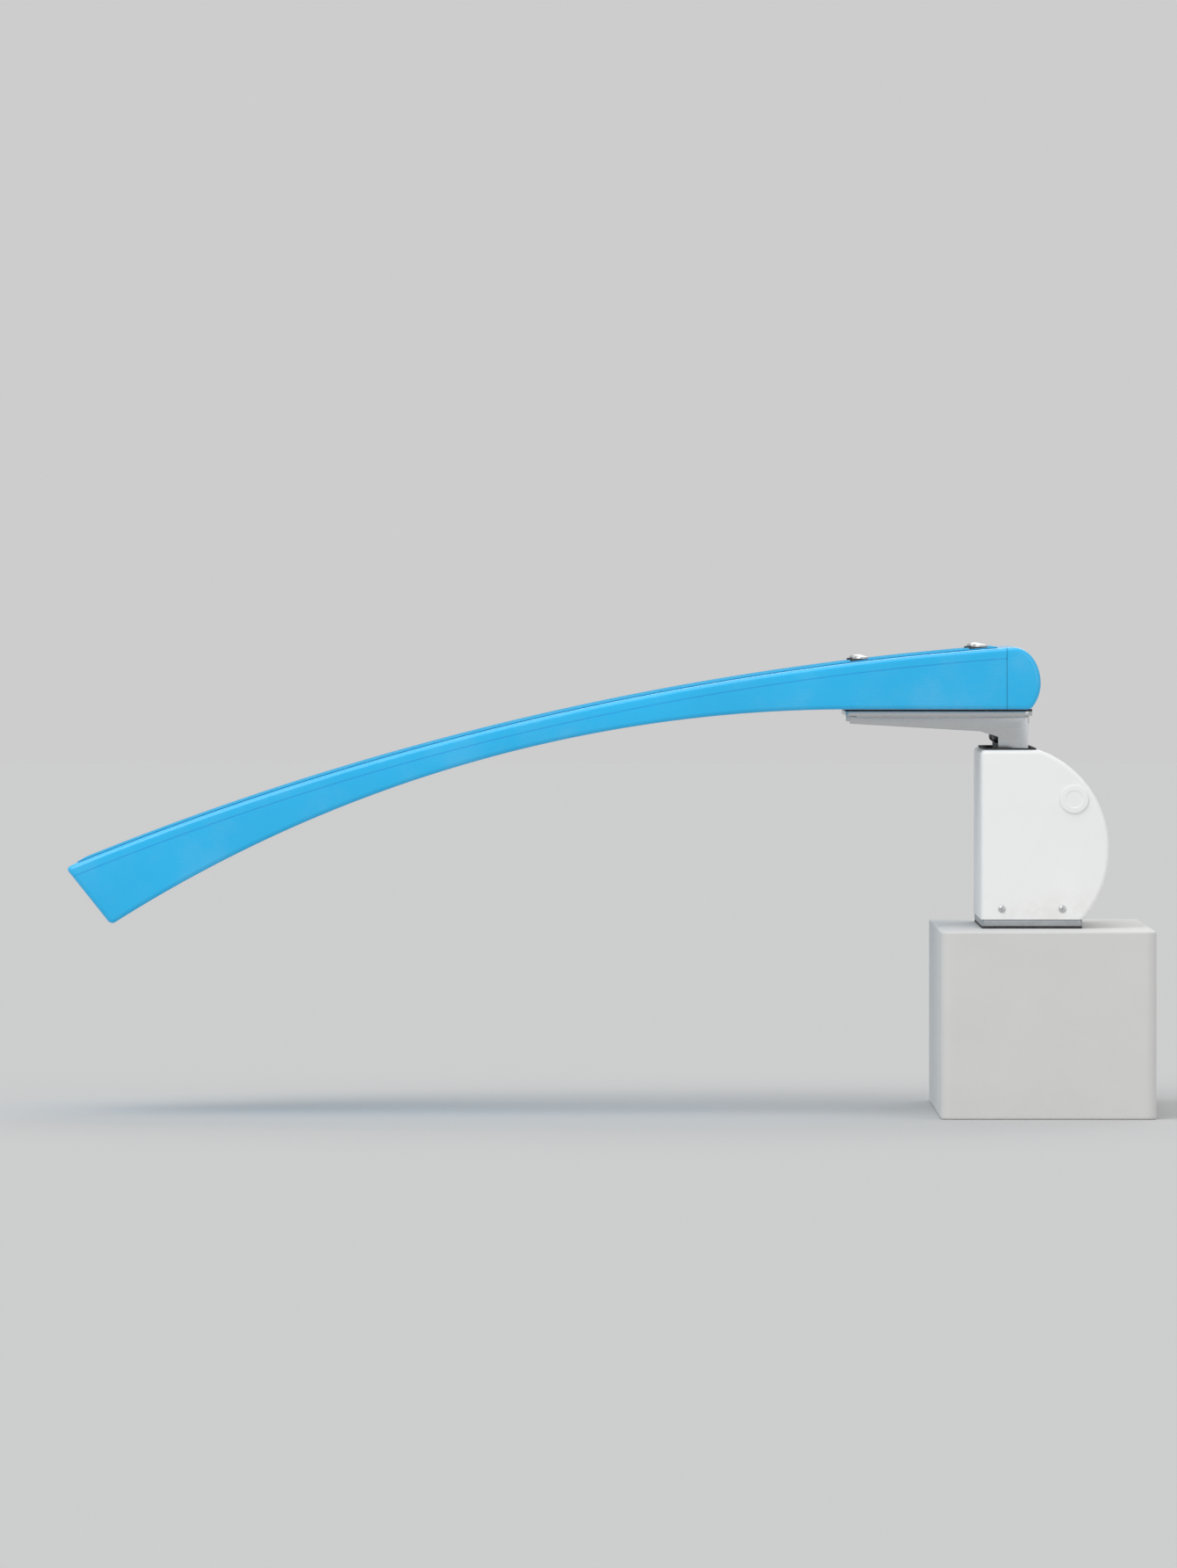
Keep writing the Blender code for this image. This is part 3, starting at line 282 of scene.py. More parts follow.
def slice_off(place, normal, side="clear_outer"):
    """In edit mode, cuts the mesh with a plane, takes one side away and closes the other."""
    bpy.ops.mesh.select_all(action="SELECT")
    bpy.ops.mesh.bisect(plane_co=place, plane_no=normal, use_fill=True, **{side: True})


def modify(obj, kind, **values):
    """Adds a modifier with these values and applies it."""
    only(obj)
    modifier = obj.modifiers.new(kind.lower(), kind)
    for name, value in values.items():
        setattr(modifier, name, value)
    bpy.ops.object.modifier_apply(modifier=modifier.name)


def cut(obj, tool, operation="DIFFERENCE"):
    """Cuts the object with the tool, or adds or keeps what they share, and removes the tool."""
    modify(obj, "BOOLEAN", object=tool, operation=operation, solver="EXACT")
    bpy.data.objects.remove(tool)


def drill(obj, places, radius, reach=THROUGH, axis="Z", sides=48):
    for place in places:
        cut(obj, rod("drill", place, radius, reach, axis, sides))


def hollow(obj, wall):
    """Gives an open shell its wall, inwards. The inside takes the second material."""
    for _ in range(2):
        obj.data.materials.append(None)
    modify(obj, "SOLIDIFY", thickness=wall, offset=-1, use_even_offset=True, material_offset=1)


def groove(obj, depth, test):
    """Sinks the outside faces whose middle passes the test."""
    with editing(obj):
        pick(obj, "FACE", lambda f: f.material_index == 0 and test(f.calc_center_median()))
        bpy.ops.mesh.extrude_region_shrink_fatten(TRANSFORM_OT_shrink_fatten={"value": -depth})


def outwards(obj):
    """Merges doubles and turns every face out."""
    with editing(obj):
        bpy.ops.mesh.remove_doubles(threshold=NEAR)
        bpy.ops.mesh.normals_make_consistent(inside=False)


def ease(obj, width, segments=2, sharp=40.0):
    """Rounds every edge sharper than the angle, in degrees."""
    limit = {"limit_method": "ANGLE", "angle_limit": math.radians(sharp)}
    modify(obj, "BEVEL", width=width, segments=segments, harden_normals=False, **limit)


def box(name, lowest, highest):
    lowest, highest = Vector(lowest), Vector(highest)
    place, scale = (lowest + highest) / 2, highest - lowest
    bpy.ops.mesh.primitive_cube_add(size=1, location=place, scale=scale)
    return settled(name)


def rounded_box(name, lowest, highest, corner):
    """A box with its upright edges rounded, seen from above."""
    obj = box(name, lowest, highest)
    half_way = (lowest[2] + highest[2]) / 2
    with editing(obj):
        round_edges(obj, corner, lambda c: abs(c.z - half_way) < NEAR, 8)
    return obj


def rod(name, place, radius, reach, axis="Z", sides=48):
    """A plain round bar, its middle at the place. Its foot points along the axis."""
    turn = [-part for part in TURNS[axis]]
    bpy.ops.mesh.primitive_cylinder_add(
        vertices=sides, radius=radius, depth=reach, location=place, rotation=turn
    )
    return settled(name)


def turned(name, profile, place=(0, 0, 0), axis="Z", sides=48):
    """A round piece, from a disc extruded and scaled through (radius, height) points.

    The axis runs through place, and the heights are places along it. A profile that ends where
    it starts makes a ring.
    """
    radius, height = profile[0]
    bpy.ops.mesh.primitive_circle_add(
        vertices=sides, radius=radius, fill_type="NGON", location=(0, 0, height)
    )
    obj = settled(name)
    with editing(obj):
        bpy.ops.mesh.select_mode(type="FACE")
        for next_radius, next_height in profile[1:]:
            extrude((0, 0, next_height - height))
            share = next_radius / radius
            bpy.ops.transform.resize(
                value=(share, share, 1), center_override=(0, 0, next_height)
            )
            radius, height = next_radius, next_height
        if profile[0] == profile[-1]:
            bpy.ops.mesh.delete(type="ONLY_FACE")
            pick(obj, "FACE", lambda f: len(f.verts) == sides)
            bpy.ops.mesh.delete(type="ONLY_FACE")
    outwards(obj)
    obj.rotation_euler = TURNS[axis]
    obj.location = [0 if name == axis else value for name, value in zip("XYZ", place)]
    return applied(obj)


def quarter(radius, height, start_radius, start_height, steps=5):
    """Profile points round a quarter ellipse, from its widest point up to its crown."""
    turns = [math.pi / 2 * i / steps for i in range(steps + 1)]
    return [
        (start_radius + radius * math.cos(turn), start_height + height * math.sin(turn))
        for turn in turns
    ]


def thread(radius, start, end, pitch, depth):
    """Profile points of a thread's crests and roots, from one height to another."""
    turns = max(1, round(abs(end - start) / pitch))
    step = (end - start) / turns
    points = []
    for i in range(turns):
        points += [(radius - depth, start + step * i), (radius, start + step * (i + 0.5))]
    return [*points, (radius - depth, end)]


def hexagon_nut(name, place, bottom, top, flats, bore):
    """A hexagon nut, its corners turned off at both faces. It is cut at the origin, then moved."""
    height = top - bottom
    corner = flats / math.sqrt(3)
    nut = turned(name, [(corner, 0), (corner, height)], sides=6)
    drop = (corner - flats / 2) * 0.6
    clear = 0.0002
    inner, outer = flats / 2 - clear, corner + clear
    cone = [(inner, 0), (outer, drop), (outer, height - drop), (inner, height)]
    cut(nut, turned("chamfer", cone), "INTERSECT")
    drill(nut, [(0, 0, height / 2)], bore, 3 * height)
    nut.location = (place.x, place.y, bottom)
    return applied(nut)


def copied(source, name, shift=(0, 0, 0), turn=0.0):
    """A copy with its own mesh, moved and turned about the vertical through the origin."""
    obj = source.copy()
    obj.data = source.data.copy()
    obj.name = name
    bpy.context.scene.collection.objects.link(obj)
    obj.data.transform(Matrix.Translation(shift) @ Matrix.Rotation(turn, 4, "Z"))
    return obj


def cad_copy(node, name):
    """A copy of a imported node's mesh, its loose triangles merged back into flat faces."""
    obj = bpy.data.objects.new(name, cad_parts[node].data.copy())
    bpy.context.scene.collection.objects.link(obj)
    with editing(obj):
        bpy.ops.mesh.remove_doubles(threshold=NEAR)
        bpy.ops.mesh.dissolve_limited(angle_limit=math.radians(1.0))
    return obj


def lies_at(vertex, place):
    """The same place seen from the side."""
    return all(abs(vertex.co[axis] - place[axis]) < 5 * NEAR for axis in (0, 2))


def sweep(name, stations, width):
    """A solid through stations, each a list of points down its section, by extruding its end."""
    bpy.ops.mesh.primitive_plane_add(size=width)
    obj = settled(name)
    first = stations[0]
    with editing(obj):
        pick(obj, "VERT", lambda v: v.co.x > 0)
        bpy.ops.mesh.delete(type="VERT")
        bpy.ops.mesh.select_all(action="SELECT")
        bpy.ops.transform.translate(value=first[0] + Vector((width / 2, 0, 0)))
        for above, below in zip(first, first[1:]):
            extrude(below - above)
        bpy.ops.mesh.select_mode(type="FACE")
        bpy.ops.mesh.select_all(action="SELECT")
        for last, station in zip(stations, stations[1:]):
            step = station[0] - last[0]
            extrude(step)
            for was, now in list(zip(last, station))[1:]:
                pick(obj, "VERT", lambda v: lies_at(v, was + step))
                bpy.ops.transform.translate(value=now - was - step)
            pick(obj, "FACE", lambda f: all(any(lies_at(v, p) for p in station) for v in f.verts))
    outwards(obj)
    return obj


def dress(obj, *finishes, smooth=35.0):
    """Gives a piece its finishes and smooths its rounded parts."""
    obj.data.materials.clear()
    for name in finishes:
        obj.data.materials.append(finish(name))
    only(obj)
    bpy.ops.object.shade_smooth_by_angle(angle=math.radians(smooth))


def mount(obj, body, slot, node=None, inside=(), smooth=35.0):
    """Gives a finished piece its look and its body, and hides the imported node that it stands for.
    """
    dress(obj, slot, *inside, smooth=smooth)
    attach(obj, body)
    if node:
        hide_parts(node)


def mount_copies(model, name, node, labels, body, slot, facing=False):
    """Mounts a copy of the model for each label, and takes the model away.

    The model stands in the first one's place. Pieces that face outwards are turned about on the
    left.
    """
    start = middle(f"{node}_{labels[0]}")
    for label in labels:
        place = middle(f"{node}_{label}")
        turn = math.pi if facing and place.y < 0 else 0.0
        step = place - Matrix.Rotation(turn, 3, "Z") @ start
        piece = copied(model, f"{name}_{label}", step, turn)
        mount(piece, body, slot, f"{node}_{label}")
    bpy.data.objects.remove(model)


# Finishes


def solid(rgb, factor=1.0):
    return (*(min(1.0, value * factor) for value in rgb), 1.0)


class Nodes:
    """A shader tree, with the nodes that finishes are made of. Patterns follow where."""

    def __init__(self, tree, where=None):
        self.tree = tree
        self.where = where

    def put(self, kind, values=None, **settings):
        """A node, with its inputs set or linked by name or number."""
        made = self.tree.nodes.new("ShaderNode" + kind)
        for name, value in settings.items():
            setattr(made, name, value)
        for name, value in (values or {}).items():
            if isinstance(value, bpy.types.NodeSocket):
                self.tree.links.new(value, made.inputs[name])
            else:
                made.inputs[name].default_value = value
        return made

    def maths(self, operation, first, second=0.0):
        return self.put("Math", {0: first, 1: second}, operation=operation).outputs[0]

    def sum(self, first, share, second, other_share):
        """Two values added, each times its share."""
        parts = [self.maths("MULTIPLY", *pair) for pair in ((first, share), (second, other_share))]
        return self.maths("ADD", *parts)

    def span(self, value, from_low, from_high, to_low, to_high):
        """The value carried smoothly from one range to another."""
        names = ("Value", "From Min", "From Max", "To Min", "To Max")
        values = dict(zip(names, (value, from_low, from_high, to_low, to_high)))
        return self.put("MapRange", values, interpolation_type="SMOOTHSTEP").outputs["Result"]

    def blended(self, share, first, second):
        return self.put("Mix", {0: share, 6: first, 7: second}, data_type="RGBA").outputs[2]

    def varied(self, share, rgb, dark, pale):
        """One colour, between a darker and a paler shade of it."""
        return self.blended(share, solid(rgb, dark), solid(rgb, pale))

    def noise(self, scale, detail=3.0, rough=0.5, where=None):
        values = {"Vector": where or self.where, "Scale": scale, "Detail": detail}
        return self.put("TexNoise", {**values, "Roughness": rough}).outputs["Fac"]

    def stretched(self, scale):
        return self.put("Mapping", {"Vector": self.where, "Scale": scale}).outputs["Vector"]

    def along(self, axis):
        return self.put("SeparateXYZ", {"Vector": self.where}).outputs[axis]


def new_group(name, inputs, outputs):
    """An empty node group with these sockets; gives its inputs, its outputs and its nodes."""
    tree = bpy.data.node_groups.new(name, "ShaderNodeTree")
    tree.interface.new_socket("Where", in_out="INPUT", socket_type="NodeSocketVector")
    for label, kind, default in inputs:
        socket = tree.interface.new_socket(label, in_out="INPUT", socket_type="NodeSocket" + kind)
        if default is not None:
            socket.default_value = default
    for label, kind in outputs:
        tree.interface.new_socket(label, in_out="OUTPUT", socket_type="NodeSocket" + kind)
    given = tree.nodes.new("NodeGroupInput").outputs
    return given, tree.nodes.new("NodeGroupOutput").inputs, Nodes(tree, given["Where"])


def weathering():
    """Patches of dust and fading laid over a colour, with the mask of where they lie."""
    given, result, nodes = new_group(
        "weathering",
        [
            ("Colour", "Color", None),
            ("Dust", "Color", (0.4, 0.36, 0.3, 1.0)),
            ("Amount", "Float", 0.3),
            ("Patch", "Float", 6.0),
        ],
        [("Colour", "Color"), ("Mask", "Float")],
    )
    patches = nodes.span(nodes.noise(given["Patch"], 6.0, 0.62), 0.42, 0.78, 0, 1)
    specks = nodes.span(nodes.noise(420.0, 2.0), 0.58, 0.72, 0, 1)
    mask = nodes.maths("MULTIPLY", nodes.sum(patches, 0.75, specks, 0.25), given["Amount"])
    mixed = nodes.blended(mask, given["Colour"], given["Dust"])
    nodes.tree.links.new(mixed, result["Colour"])
    nodes.tree.links.new(mask, result["Mask"])


def moulded_skin():
    """The fine unevenness of a moulded or sprayed skin: slow waves with small pits on them."""
    inputs = [("Scale", "Float", 220.0), ("Pits", "Float", 0.3)]
    given, result, nodes = new_group("moulded_skin", inputs, [("Height", "Float")])
    waves = nodes.noise(given["Scale"], 2.0)
    cells = {"Vector": nodes.where, "Scale": nodes.maths("MULTIPLY", given["Scale"], 2.6)}
    pits = nodes.put("TexVoronoi", {**cells, "Smoothness": 0.7}, feature="SMOOTH_F1")
    deep = nodes.maths("MULTIPLY", pits.outputs["Distance"], given["Pits"])
    nodes.tree.links.new(nodes.maths("ADD", waves, deep), result["Height"])


def brushed():
    """Long fine scratches along the piece's length, for their height and their spread."""
    inputs = [("Along", "Vector", (12.0, 900.0, 900.0))]
    outputs = [("Height", "Float"), ("Spread", "Float")]
    given, result, nodes = new_group("brushed", inputs, outputs)
    lines = nodes.noise(1.0, 4.0, 0.65, nodes.stretched(given["Along"]))
    nodes.tree.links.new(lines, result["Height"])
    smears = nodes.noise(14.0, 4.0, 0.6)
    nodes.tree.links.new(nodes.sum(lines, 0.6, smears, 0.4), result["Spread"])


class Look(Nodes):
    """A new material and its shader."""

    def __init__(self, name):
        material = bpy.data.materials.new(name)
        material.use_nodes = True
        super().__init__(material.node_tree)
        self.where = self.put("TexCoord").outputs["Object"]
        self.shader = self.tree.nodes["Principled BSDF"].inputs

    def use(self, group, values):
        """The outputs of a shared node group, which is built when it is first used."""
        name = group.__name__
        if name not in bpy.data.node_groups:
            group()
        values = {"Where": self.where, **values}
        return self.put("Group", values, node_tree=bpy.data.node_groups[name]).outputs

    def weathered(self, tint, dust, amount, patch):
        """The weathered colour, and the mask of where the dust lies."""
        values = {"Colour": tint, "Dust": dust, "Amount": amount, "Patch": patch}
        outputs = self.use(weathering, values)
        return outputs["Colour"], outputs["Mask"]

    def skin(self, scale, pits):
        return self.use(moulded_skin, {"Scale": scale, "Pits": pits})["Height"]

    def feed(self, tint, rough, height, depth, strength):
        """Links what changes over the surface to the shader; depth is the bump's real height."""
        self.tree.links.new(tint, self.shader["Base Color"])
        self.tree.links.new(rough, self.shader["Roughness"])
        bump = self.put("Bump", {"Height": height, "Distance": depth, "Strength": strength})
        self.tree.links.new(bump.outputs["Normal"], self.shader["Normal"])

    def steady(self, **values):
        """Sets what is the same all over."""
        for name, value in values.items():
            self.shader[name.replace("_", " ")].default_value = value


def gel_coat(look, colours):
    """Sprayed gel coat: deep gloss, faint orange peel, a little fading and fine wiping marks."""
    slow = look.span(look.noise(2.2), 0.35, 0.65, 0, 1)
    tint = look.varied(slow, colours.board, 0.95, 1.04)
    aged, mask = look.weathered(tint, solid((0.62, 0.74, 0.80)), 0.10, 9.0)
    marks = look.use(brushed, {"Along": (10.0, 260.0, 260.0)})
    rough = look.sum(look.span(marks["Spread"], 0.30, 0.75, 0.14, 0.30), 1.0, mask, 1.2)
    look.feed(aged, rough, look.skin(150.0, 0.10), 0.00030, 0.30)
    look.steady(Coat_Weight=0.35, Coat_Roughness=0.06)


def laminate(look, colours):
    """The inside of the board's shell: rough glass fibre in resin."""
    weave = look.noise(160.0, 5.0, 0.7)
    tint = look.blended(weave, (0.30, 0.42, 0.36, 1), (0.55, 0.62, 0.50, 1))
    look.feed(tint, look.span(weave, 0.3, 0.7, 0.45, 0.8), weave, 0.0006, 0.7)


def tread_grit(look, colours):
    """Coloured grit in resin: sharp grains with painted shade in the hollows between them, worn paler
    down the middle, with patches of dust.
    """
    grains = look.put("TexVoronoi", {"Vector": look.where, "Scale": 760.0}, feature="F1")
    sharp = look.span(grains.outputs["Distance"], 0.0, 0.75, 1, 0)
    height = look.sum(sharp, 0.8, look.noise(1500.0, 3.0, 0.6), 0.5)
    # Painted shade: the grit's colour is darker where its height is low, in the hollows between the
    # grains, and paler on their tops.
    tint = look.varied(look.span(height, 0.35, 1.15, 0, 1), colours.tread, 0.84, 1.25)
    path = look.span(look.maths("ABSOLUTE", look.along("Y")), 0.05, 0.17, 1, 0)
    scuffs = look.noise(1.0, 8.0, 0.72, look.stretched((9.0, 26.0, 9.0)))
    traffic = look.maths("MULTIPLY", path, look.span(scuffs, 0.35, 0.80, 0, 1))
    worn = look.blended(look.maths("MULTIPLY", traffic, 0.14), tint, solid((0.16, 0.62, 0.88)))
    aged, _ = look.weathered(worn, solid(colours.dust), 0.07, 30.0)
    look.feed(aged, look.span(height, 0.3, 1.2, 0.95, 0.62), height, 0.0009, 0.9)


def moulded_white(look, colours):
    """White moulded plastic with a fine leathery skin, and dust splashed up from the deck."""
    slow = look.noise(5.0)
    tint = look.varied(slow, colours.cover, 0.985, 1.01)
    splash = look.span(look.along("Z"), 0.018, 0.085, 0.30, 0.025)
    aged, mask = look.weathered(tint, solid(colours.dust, 1.25), splash, 16.0)
    rough = look.sum(look.span(slow, 0.3, 0.7, 0.33, 0.42), 1.0, mask, 0.9)
    look.feed(aged, rough, look.skin(330.0, 0.55), 0.00022, 0.45)


def stainless(look, colours):
    """Brushed stainless steel with water marks."""
    lines = look.use(brushed, {"Along": (18.0, 1100.0, 1100.0)})
    tint = look.varied(lines["Spread"], colours.stainless, 0.86, 1.12)
    aged, mask = look.weathered(tint, solid((0.40, 0.38, 0.34)), 0.10, 60.0)
    rough = look.sum(look.span(lines["Spread"], 0.3, 0.75, 0.20, 0.42), 1.0, mask, 0.6)
    look.feed(aged, rough, lines["Height"], 0.00004, 0.35)
    look.steady(Metallic=1.0)


def galvanised(look, colours):
    """Hot-dip zinc: grey spangles, each dulled a little differently."""
    spangle = look.put("TexVoronoi", {"Vector": look.where, "Scale": 120.0})
    pale = look.put("SeparateColor", {"Color": spangle.outputs["Color"]}).outputs["Red"]
    fog = look.noise(30.0, 5.0, 0.65)
    shade = look.sum(pale, 0.35, fog, 0.65)
    tint = look.varied(shade, colours.zinc, 0.78, 1.30)
    look.feed(tint, look.span(shade, 0.2, 0.8, 0.38, 0.66), fog, 0.00012, 0.5)
    look.steady(Metallic=0.9)


def spring_steel(look, colours):
    """Dark powder coat on the springs, chalky where it has weathered."""
    fog = look.noise(60.0, 4.0, 0.6)
    tint = look.varied(fog, colours.spring, 0.8, 1.9)
    aged, mask = look.weathered(tint, solid(colours.dust, 0.6), 0.25, 70.0)
    rough = look.sum(look.span(fog, 0.3, 0.7, 0.30, 0.45), 1.0, mask, 0.9)
    look.feed(aged, rough, look.skin(900.0, 0.5), 0.00010, 0.5)


def rubber(look, colours):
    """Black rubber with a matt bloom."""
    fog = look.noise(40.0, 5.0, 0.65)
    tint = look.varied(fog, colours.rubber, 0.8, 2.0)
    aged, _ = look.weathered(tint, solid(colours.dust, 0.7), 0.18, 60.0)
    rough = look.span(fog, 0.3, 0.7, 0.62, 0.88)
    look.feed(aged, rough, look.skin(1100.0, 0.6), 0.00012, 0.6)


def nylon(look, colours):
    """Natural nylon, slightly mottled, turned smooth."""
    fog = look.noise(90.0, 4.0)
    tint = look.varied(fog, colours.nylon, 0.88, 1.05)
    look.feed(tint, look.span(fog, 0.3, 0.7, 0.36, 0.55), fog, 0.00008, 0.4)


def timber(look, colours):
    """Laminated timber: long grain, with glue lines between the layers."""
    grain = look.noise(1.0, 6.0, 0.62, look.stretched((3.0, 95.0, 95.0)))
    layer = look.maths("FRACT", look.maths("MULTIPLY", look.along("Y"), 55.0))
    tint = look.varied(grain, colours.timber, 0.55, 1.35)
    glued = look.blended(look.span(layer, 0.0, 0.05, 0.65, 1.0), solid((0.10, 0.05, 0.02)), tint)
    look.feed(glued, look.span(grain, 0.3, 0.7, 0.5, 0.75), grain, 0.0003, 0.5)


def plinth(look, colours):
    """The pale block under the pedestal."""
    fog = look.noise(7.0, 6.0, 0.6)
    tint = look.varied(fog, colours.plinth, 0.95, 1.05)
    look.feed(tint, look.span(fog, 0.3, 0.7, 0.72, 0.85), look.noise(320.0), 0.0003, 0.3)


def floor(look, colours):
    """The plain pale floor, with no sheen, so it has one tone as far as it goes."""
    look.steady(Base_Color=solid(colours.floor), Roughness=1.0, Specular_IOR_Level=0.0)


FINISHES = (
    gel_coat, laminate, tread_grit, moulded_white, stainless, galvanised, spring_steel, rubber,
    nylon, timber, plinth, floor,
)


def finish(name):
    """The material of this finish, made when it is first asked for."""
    label = f"{name}_finish"
    if label not in bpy.data.materials:
        make = {made.__name__: made for made in FINISHES}[name]
        make(Look(label), bpy.context.scene.board_colours)
    return bpy.data.materials[label]


class Outline:
    """Points on the board's deck and belly, seen from the side, from its sizes and the frame."""

    def __init__(self, sizes):
        self.sizes = sizes
        cap_low, cap_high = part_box("rear_cap")
        self.rear_x = cap_high.x
        self.pad_z = cap_low.z
        self.joint_x = cap_low.x + sizes.spigot
        self.width = 2 * high("board_shell").y
        centre_z = self.pad_z + sizes.apex_rise - sizes.deck_radius
        self.centre = Vector((sizes.apex_x, 0, centre_z))
        self.belly = Vector((sizes.pad_front, 0, self.pad_z - sizes.belly_radius))
        self.tip_angle = self.angle_at(self.rear_x) + sizes.board_length / sizes.deck_radius

    def angle_at(self, x):
        return math.asin((self.sizes.apex_x - x) / self.sizes.deck_radius)

    def deck(self, angle, rise=0.0):
        """The deck's point at this angle from its apex towards the tip."""
        radius = self.sizes.deck_radius + rise
        return self.centre + radius * Vector((-math.sin(angle), 0, math.cos(angle)))

    def deck_at(self, x):
        return self.deck(self.angle_at(x))

    def depth(self, point):
        """How far a point lies under the deck's arc."""
        flat = Vector((point.x, 0, point.z)) - self.centre
        return self.sizes.deck_radius - flat.length

    def tip_corner(self):
        """The belly's end, where the tip's leaning cut meets it."""
        tip = self.deck(self.tip_angle)
        slope = self.tip_angle + self.sizes.tip_rake
        cut_way = Vector((math.sin(slope), 0, -math.cos(slope)))
        offset = tip - self.belly
        half = offset.dot(cut_way)
        beyond = half**2 - offset.length_squared + self.sizes.belly_radius**2
        return tip + cut_way * (-half - math.sqrt(beyond))

    def under(self, share):
        """The belly's point, a share of the way from the cap's joint to the tip."""
        flat = self.joint_x - self.sizes.pad_front
        radius = self.sizes.belly_radius
        arch = radius * math.asin((self.belly.x - self.tip_corner().x) / radius)
        along = share * (flat + arch)
        if along < flat:
            return Vector((self.joint_x - along, 0, self.pad_z))
        angle = (along - flat) / radius
        return self.belly + radius * Vector((-math.sin(angle), 0, math.cos(angle)))

    def stations(self):
        """Sections from the cap's joint to the tip, each with the seam's two lines on it."""
        sizes = self.sizes
        start = self.angle_at(self.joint_x)
        made = []
        for i in range(sizes.steps + 1):
            share = i / sizes.steps
            top = self.deck(start + (self.tip_angle - start) * share)
            bottom = self.under(share)
            down = (bottom - top).normalized()
            square = down.dot((self.centre - top).normalized())
            seam = top + down * sizes.seam_drop / square
            made.append([top, seam, seam + down * sizes.seam_width / square, bottom])
        return made


class BOARD_OT_shell(bpy.types.Operator):
    """Builds the board's hollow shell, with its seam and bolt holes"""

    bl_idname = "board.shell"
    bl_label = "Board shell"

    def execute(self, context):
        sizes = context.scene.board_sizes
        line = Outline(sizes)
        shell = sweep("gel_coat_shell", line.stations(), line.width)
        joint = line.joint_x - NEAR * 10
        with editing(shell):
            round_edges(shell, sizes.edge, lambda c: c.x < joint)
            pick(shell, "FACE", lambda f: all(v.co.x > joint for v in f.verts))
            bpy.ops.mesh.delete(type="FACE")
        hollow(shell, sizes.wall)
        seam_end = sizes.seam_drop + sizes.seam_width
        groove(shell, sizes.seam_depth, lambda c: sizes.seam_drop < line.depth(c) < seam_end)
        drill(shell, middles("board_bolt"), context.scene.hardware_sizes.bolt_hole)
        mount(shell, "board", "gel_coat", "board_shell", ["laminate"])
        return {"FINISHED"}


class BOARD_OT_rear_cap(bpy.types.Operator):
    """Builds the board's rounded rear end, with the spigot that plugs the shell"""

    bl_idname = "board.rear_cap"
    bl_label = "Rear cap"

    def execute(self, context):
        sizes = context.scene.board_sizes
        line = Outline(sizes)
        front_x = line.joint_x + sizes.cap_gap
        cap = sweep("rear_nose", self.stations(sizes, line, front_x), line.width)
        side = line.width / 2
        with editing(cap):
            for sign in (-1, 1):
                pick(cap, "FACE", lambda f: all(abs(v.co.y * sign - side) < NEAR for v in f.verts))
                bpy.ops.mesh.dissolve_faces()
            behind = front_x + NEAR * 10
            round_edges(cap, sizes.edge, lambda c: abs(abs(c.y) - side) < NEAR and c.x > behind)
            pick(cap, "FACE", lambda f: all(v.co.x < front_x + NEAR for v in f.verts))
            bpy.ops.mesh.inset(thickness=sizes.wall + sizes.spigot_play, depth=0)
            extrude((-sizes.spigot, 0, 0))
        mount(cap, "board", "gel_coat", "rear_cap")
        return {"FINISHED"}

    def stations(self, sizes, line, front_x):
        """Top and bottom points from the joint back round the nose and the heel."""
        crown = line.deck_at(line.rear_x - sizes.nose_reach)
        heel = Vector((line.rear_x - 2 * sizes.heel, 0, line.pad_z + sizes.heel))
        nose = crown + Vector((sizes.nose_reach, 0, -sizes.nose_drop))
        turns = (math.radians(90 * i / 14) for i in range(14))
        top = [
            crown + Vector((sizes.nose_reach * math.sin(t), 0, sizes.nose_drop * (math.cos(t) - 1)))
            for t in turns
        ]
        pad = Vector((front_x, 0, line.pad_z))
        leave = math.radians(-36)  # where the heel's arc gives way to the curve up to the nose
        bends = (-math.pi / 2 + (leave + math.pi / 2) * i / 5 for i in range(6))
        bottom = [pad.lerp(Vector((heel.x, 0, line.pad_z)), i / 4) for i in range(1, 4)]
        bottom += [heel + sizes.heel * Vector((math.cos(b), 0, math.sin(b))) for b in bends]
        foot = bottom[-1]
        reach = (nose.x - foot.x) / math.sin(-leave)
        bulge = Vector((nose.x, 0, foot.z + reach * math.cos(leave)))
        for share in (0.2, 0.4, 0.6, 0.8, 0.96):
            bottom.append(foot.lerp(bulge, share).lerp(bulge.lerp(nose, share), share))
        return [[line.deck_at(front_x), pad], *([a, b] for a, b in zip(top, bottom))]


class BOARD_OT_tread(bpy.types.Operator):
    """Builds the gritty sheet on the deck, cut away round the bolts' washers"""

    bl_idname = "board.tread"
    bl_label = "Tread"

    def execute(self, context):
        sizes = context.scene.board_sizes
        line = Outline(sizes)
        lowest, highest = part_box("tread")
        rear, front = line.angle_at(highest.x), line.angle_at(lowest.x)
        stations = []
        for i in range(sizes.steps + 1):
            angle = rear + (front - rear) * i / sizes.steps
            stations.append([line.deck(angle, SNUG + sizes.tread), line.deck(angle, SNUG)])
        tread = sweep("sand_tread", stations, highest.y - lowest.y)
        ends = (stations[0][0].x, stations[-1][0].x)

        def at_corner(centre):
            at_end = any(abs(centre.x - x) < sizes.tread for x in ends)
            return at_end and abs(abs(centre.y) - highest.y) < NEAR

        with editing(tread):
            round_edges(tread, sizes.tread_corner, at_corner, 6)
        *_, washer = extent("bolt_washer_1")
        drill(tread, middles("bolt_washer"), washer + 0.001, sides=64)
        ease(tread, 0.0006, 2, 60)
        mount(tread, "board", "tread_grit", "tread")
        return {"FINISHED"}


